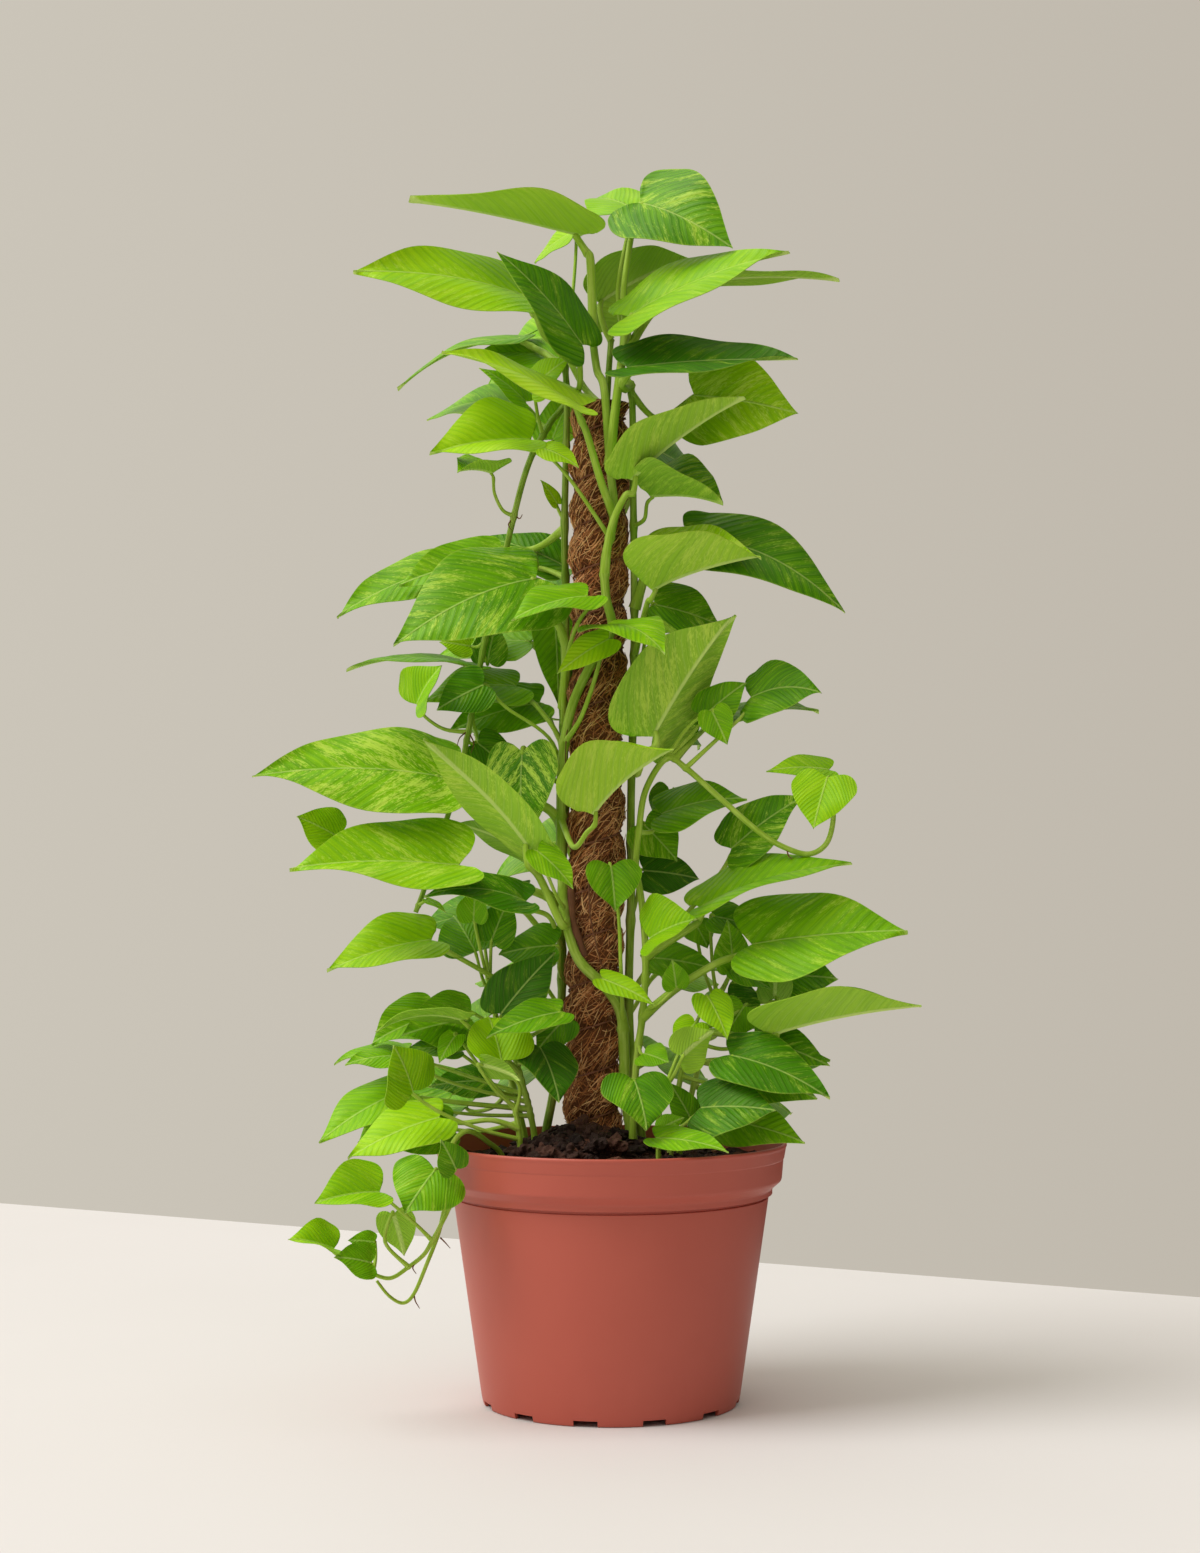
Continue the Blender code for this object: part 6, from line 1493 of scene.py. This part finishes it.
veined = pothos.mix(vein_line * (1.0 - pothos.step(edge_place, 0.6, 0.95)) * (0.16 + 0.44 * is_under),
                    marbled, paint(168, 208, 84))
rib_line = 1.0 - pothos.step(off_rib, 0.02 + 0.07 * is_under, 0.10 + 0.12 * is_under)
edged = pothos.mix(pothos.step(edge_place, 0.955, 1.0) * 0.30, veined, paint(176, 204, 70))
ribbed = pothos.mix(rib_line * (0.42 + 0.46 * is_under), edged, paint(200, 226, 124))
stem_grain = pothos.grain(120.0, 3.0, stretch=(1.0, 1.0, 0.3))
stem_colour = pothos.mix(tone, paint(54, 100, 10), paint(172, 208, 66))
stem_lines = pothos.grain(1.0, 2.0, 0.6, place=leaf_place, stretch=(0.5, 13.0, 1.0))
grained = pothos.mix(pothos.step(0.5 * stem_grain + 0.5 * stem_lines, 0.44, 0.60) * 0.55, stem_colour,
                     paint(192, 216, 104))
scarred = pothos.mix(pothos.step(stem_grain, 0.64, 0.74) * 0.6 * (1.0 - tone), grained,
                     paint(120, 104, 60))
relief = (0.32 * between - 0.6 * rib_line) * (1.0 - 2.0 * is_under) + 0.16 * fleck
pothos.wear(
    Base_Color=pothos.mix(is_leaf, scarred, ribbed),
    Roughness=0.38 + 0.16 * is_under + 0.10 * fleck,
    Normal=pothos.bump(relief * is_leaf + 0.8 * stem_lines * (1.0 - is_leaf), 0.0007, 0.8),
)

STEM_TONES = {"vine_front": 0.6, "vine_hanging": 0.35, "vine_back": 0.3, "vine_left": 0.3,
              "vine_right": 0.5}
settled = settle_leaves()
for seed, (name, (radius, routes, _)) in enumerate(VINES.items()):
    stem_tone = STEM_TONES.get(name, 0.7)
    leaf_nodes = [shape["root"] for shape, _ in settled[name]]
    parts = []
    for order, route in enumerate(routes):
        thick = stem_thickness(radius, order)
        parts.append(fine_stem(route, thick, [] if order else leaf_nodes, stem_tone, seed))
    for shape, stalk in settled[name]:
        parts.append(fine_stalk(stalk, routes[0], shape))
        parts.append(fine_blade(shape))
    leafy_stem = joined(name + "_leaves", parts)
    leafy_stem.data.materials.append(pothos.owner)
    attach(leafy_stem, "root")
    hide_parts(name)


# Aerial roots: thin brown roots that grow out of the stems' nodes, some gripping the
# coir and some hanging free, and the dry stub of a cut stem on the pole.

ROOT_THICKNESS = 0.055
AERIAL_ROOTS = (
    ((-1.6, 37.2, -2.4), (-1.5, 35.0, -2.5), (-1.1, 33.0, -2.6), (-0.7, 31.5, -2.5),
     (-0.2, 30.9, -2.5), (0.3, 30.5, -2.3), (0.5, 29.8, -2.1)),
    ((-2.6, 52.0, -1.9), (-3.2, 48.0, -1.7), (-3.3, 45.3, -1.6)),
    ((-12.3, 11.7, -8.6), (-12.0, 11.4, -8.9), (-11.6, 10.95, -9.1)),
    ((-14.2, 9.8, -8.8), (-14.3, 9.5, -9.0), (-14.05, 9.1, -9.2)),
    ((-14.2, 7.5, -6.6), (-14.1, 7.1, -6.8), (-13.8, 6.6, -7.0)),
    ((-10.3, 48.2, -0.5), (-9.9, 47.4, -0.9), (-10.1, 46.7, -1.2)),
    ((-10.3, 48.3, -0.5), (-10.9, 47.8, -1.0), (-11.1, 47.2, -1.2)),
    ((-7.0, 63.9, -0.6), (-6.6, 63.6, -0.9), (-6.4, 63.9, -1.2)),
    ((-7.0, 63.7, -0.6), (-7.4, 63.2, -0.9), (-7.2, 62.8, -1.1)),
    ((12.7, 39.8, -4.0), (12.8, 39.3, -4.2), (13.1, 39.0, -4.3)),
)
STUB = ((-2.9, 36.9, -1.9), (-2.7, 34.5, -2.1), (-2.2, 33.0, -2.3), (-1.9, 32.0, -2.3))
STUB_THICKNESS = 0.30

root_solids = []
for readings in AERIAL_ROOTS:
    path = smooth_route(trail(*readings), 6)
    last = len(path) - 1
    root_solids.append(tube(path, [ROOT_THICKNESS * CM * (1.2 - 0.8 * index / last)
                                   for index in range(last + 1)], 6))
stub_path = smooth_route(trail(*STUB), 6)
root_solids.append(tube(stub_path, [STUB_THICKNESS * CM * (0.8 + 0.1 * math.sin(index * 0.9))
                                    for index in range(len(stub_path))], 10))
aerial_roots = from_points("aerial_roots", *gathered(root_solids))
aerial_roots.data.shade_smooth()
bark_brown = Finish("root_bark", Roughness=0.8, Specular_IOR_Level=0.3)
streaks = bark_brown.grain(260.0, 3.0, stretch=(1.0, 1.0, 0.3))
bark_brown.wear(Base_Color=bark_brown.mix(streaks, paint(66, 36, 22), paint(140, 92, 60)),
                Normal=bark_brown.bump(streaks, 0.0005, 0.6))
aerial_roots.data.materials.append(bark_brown.owner)
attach(aerial_roots, "root")
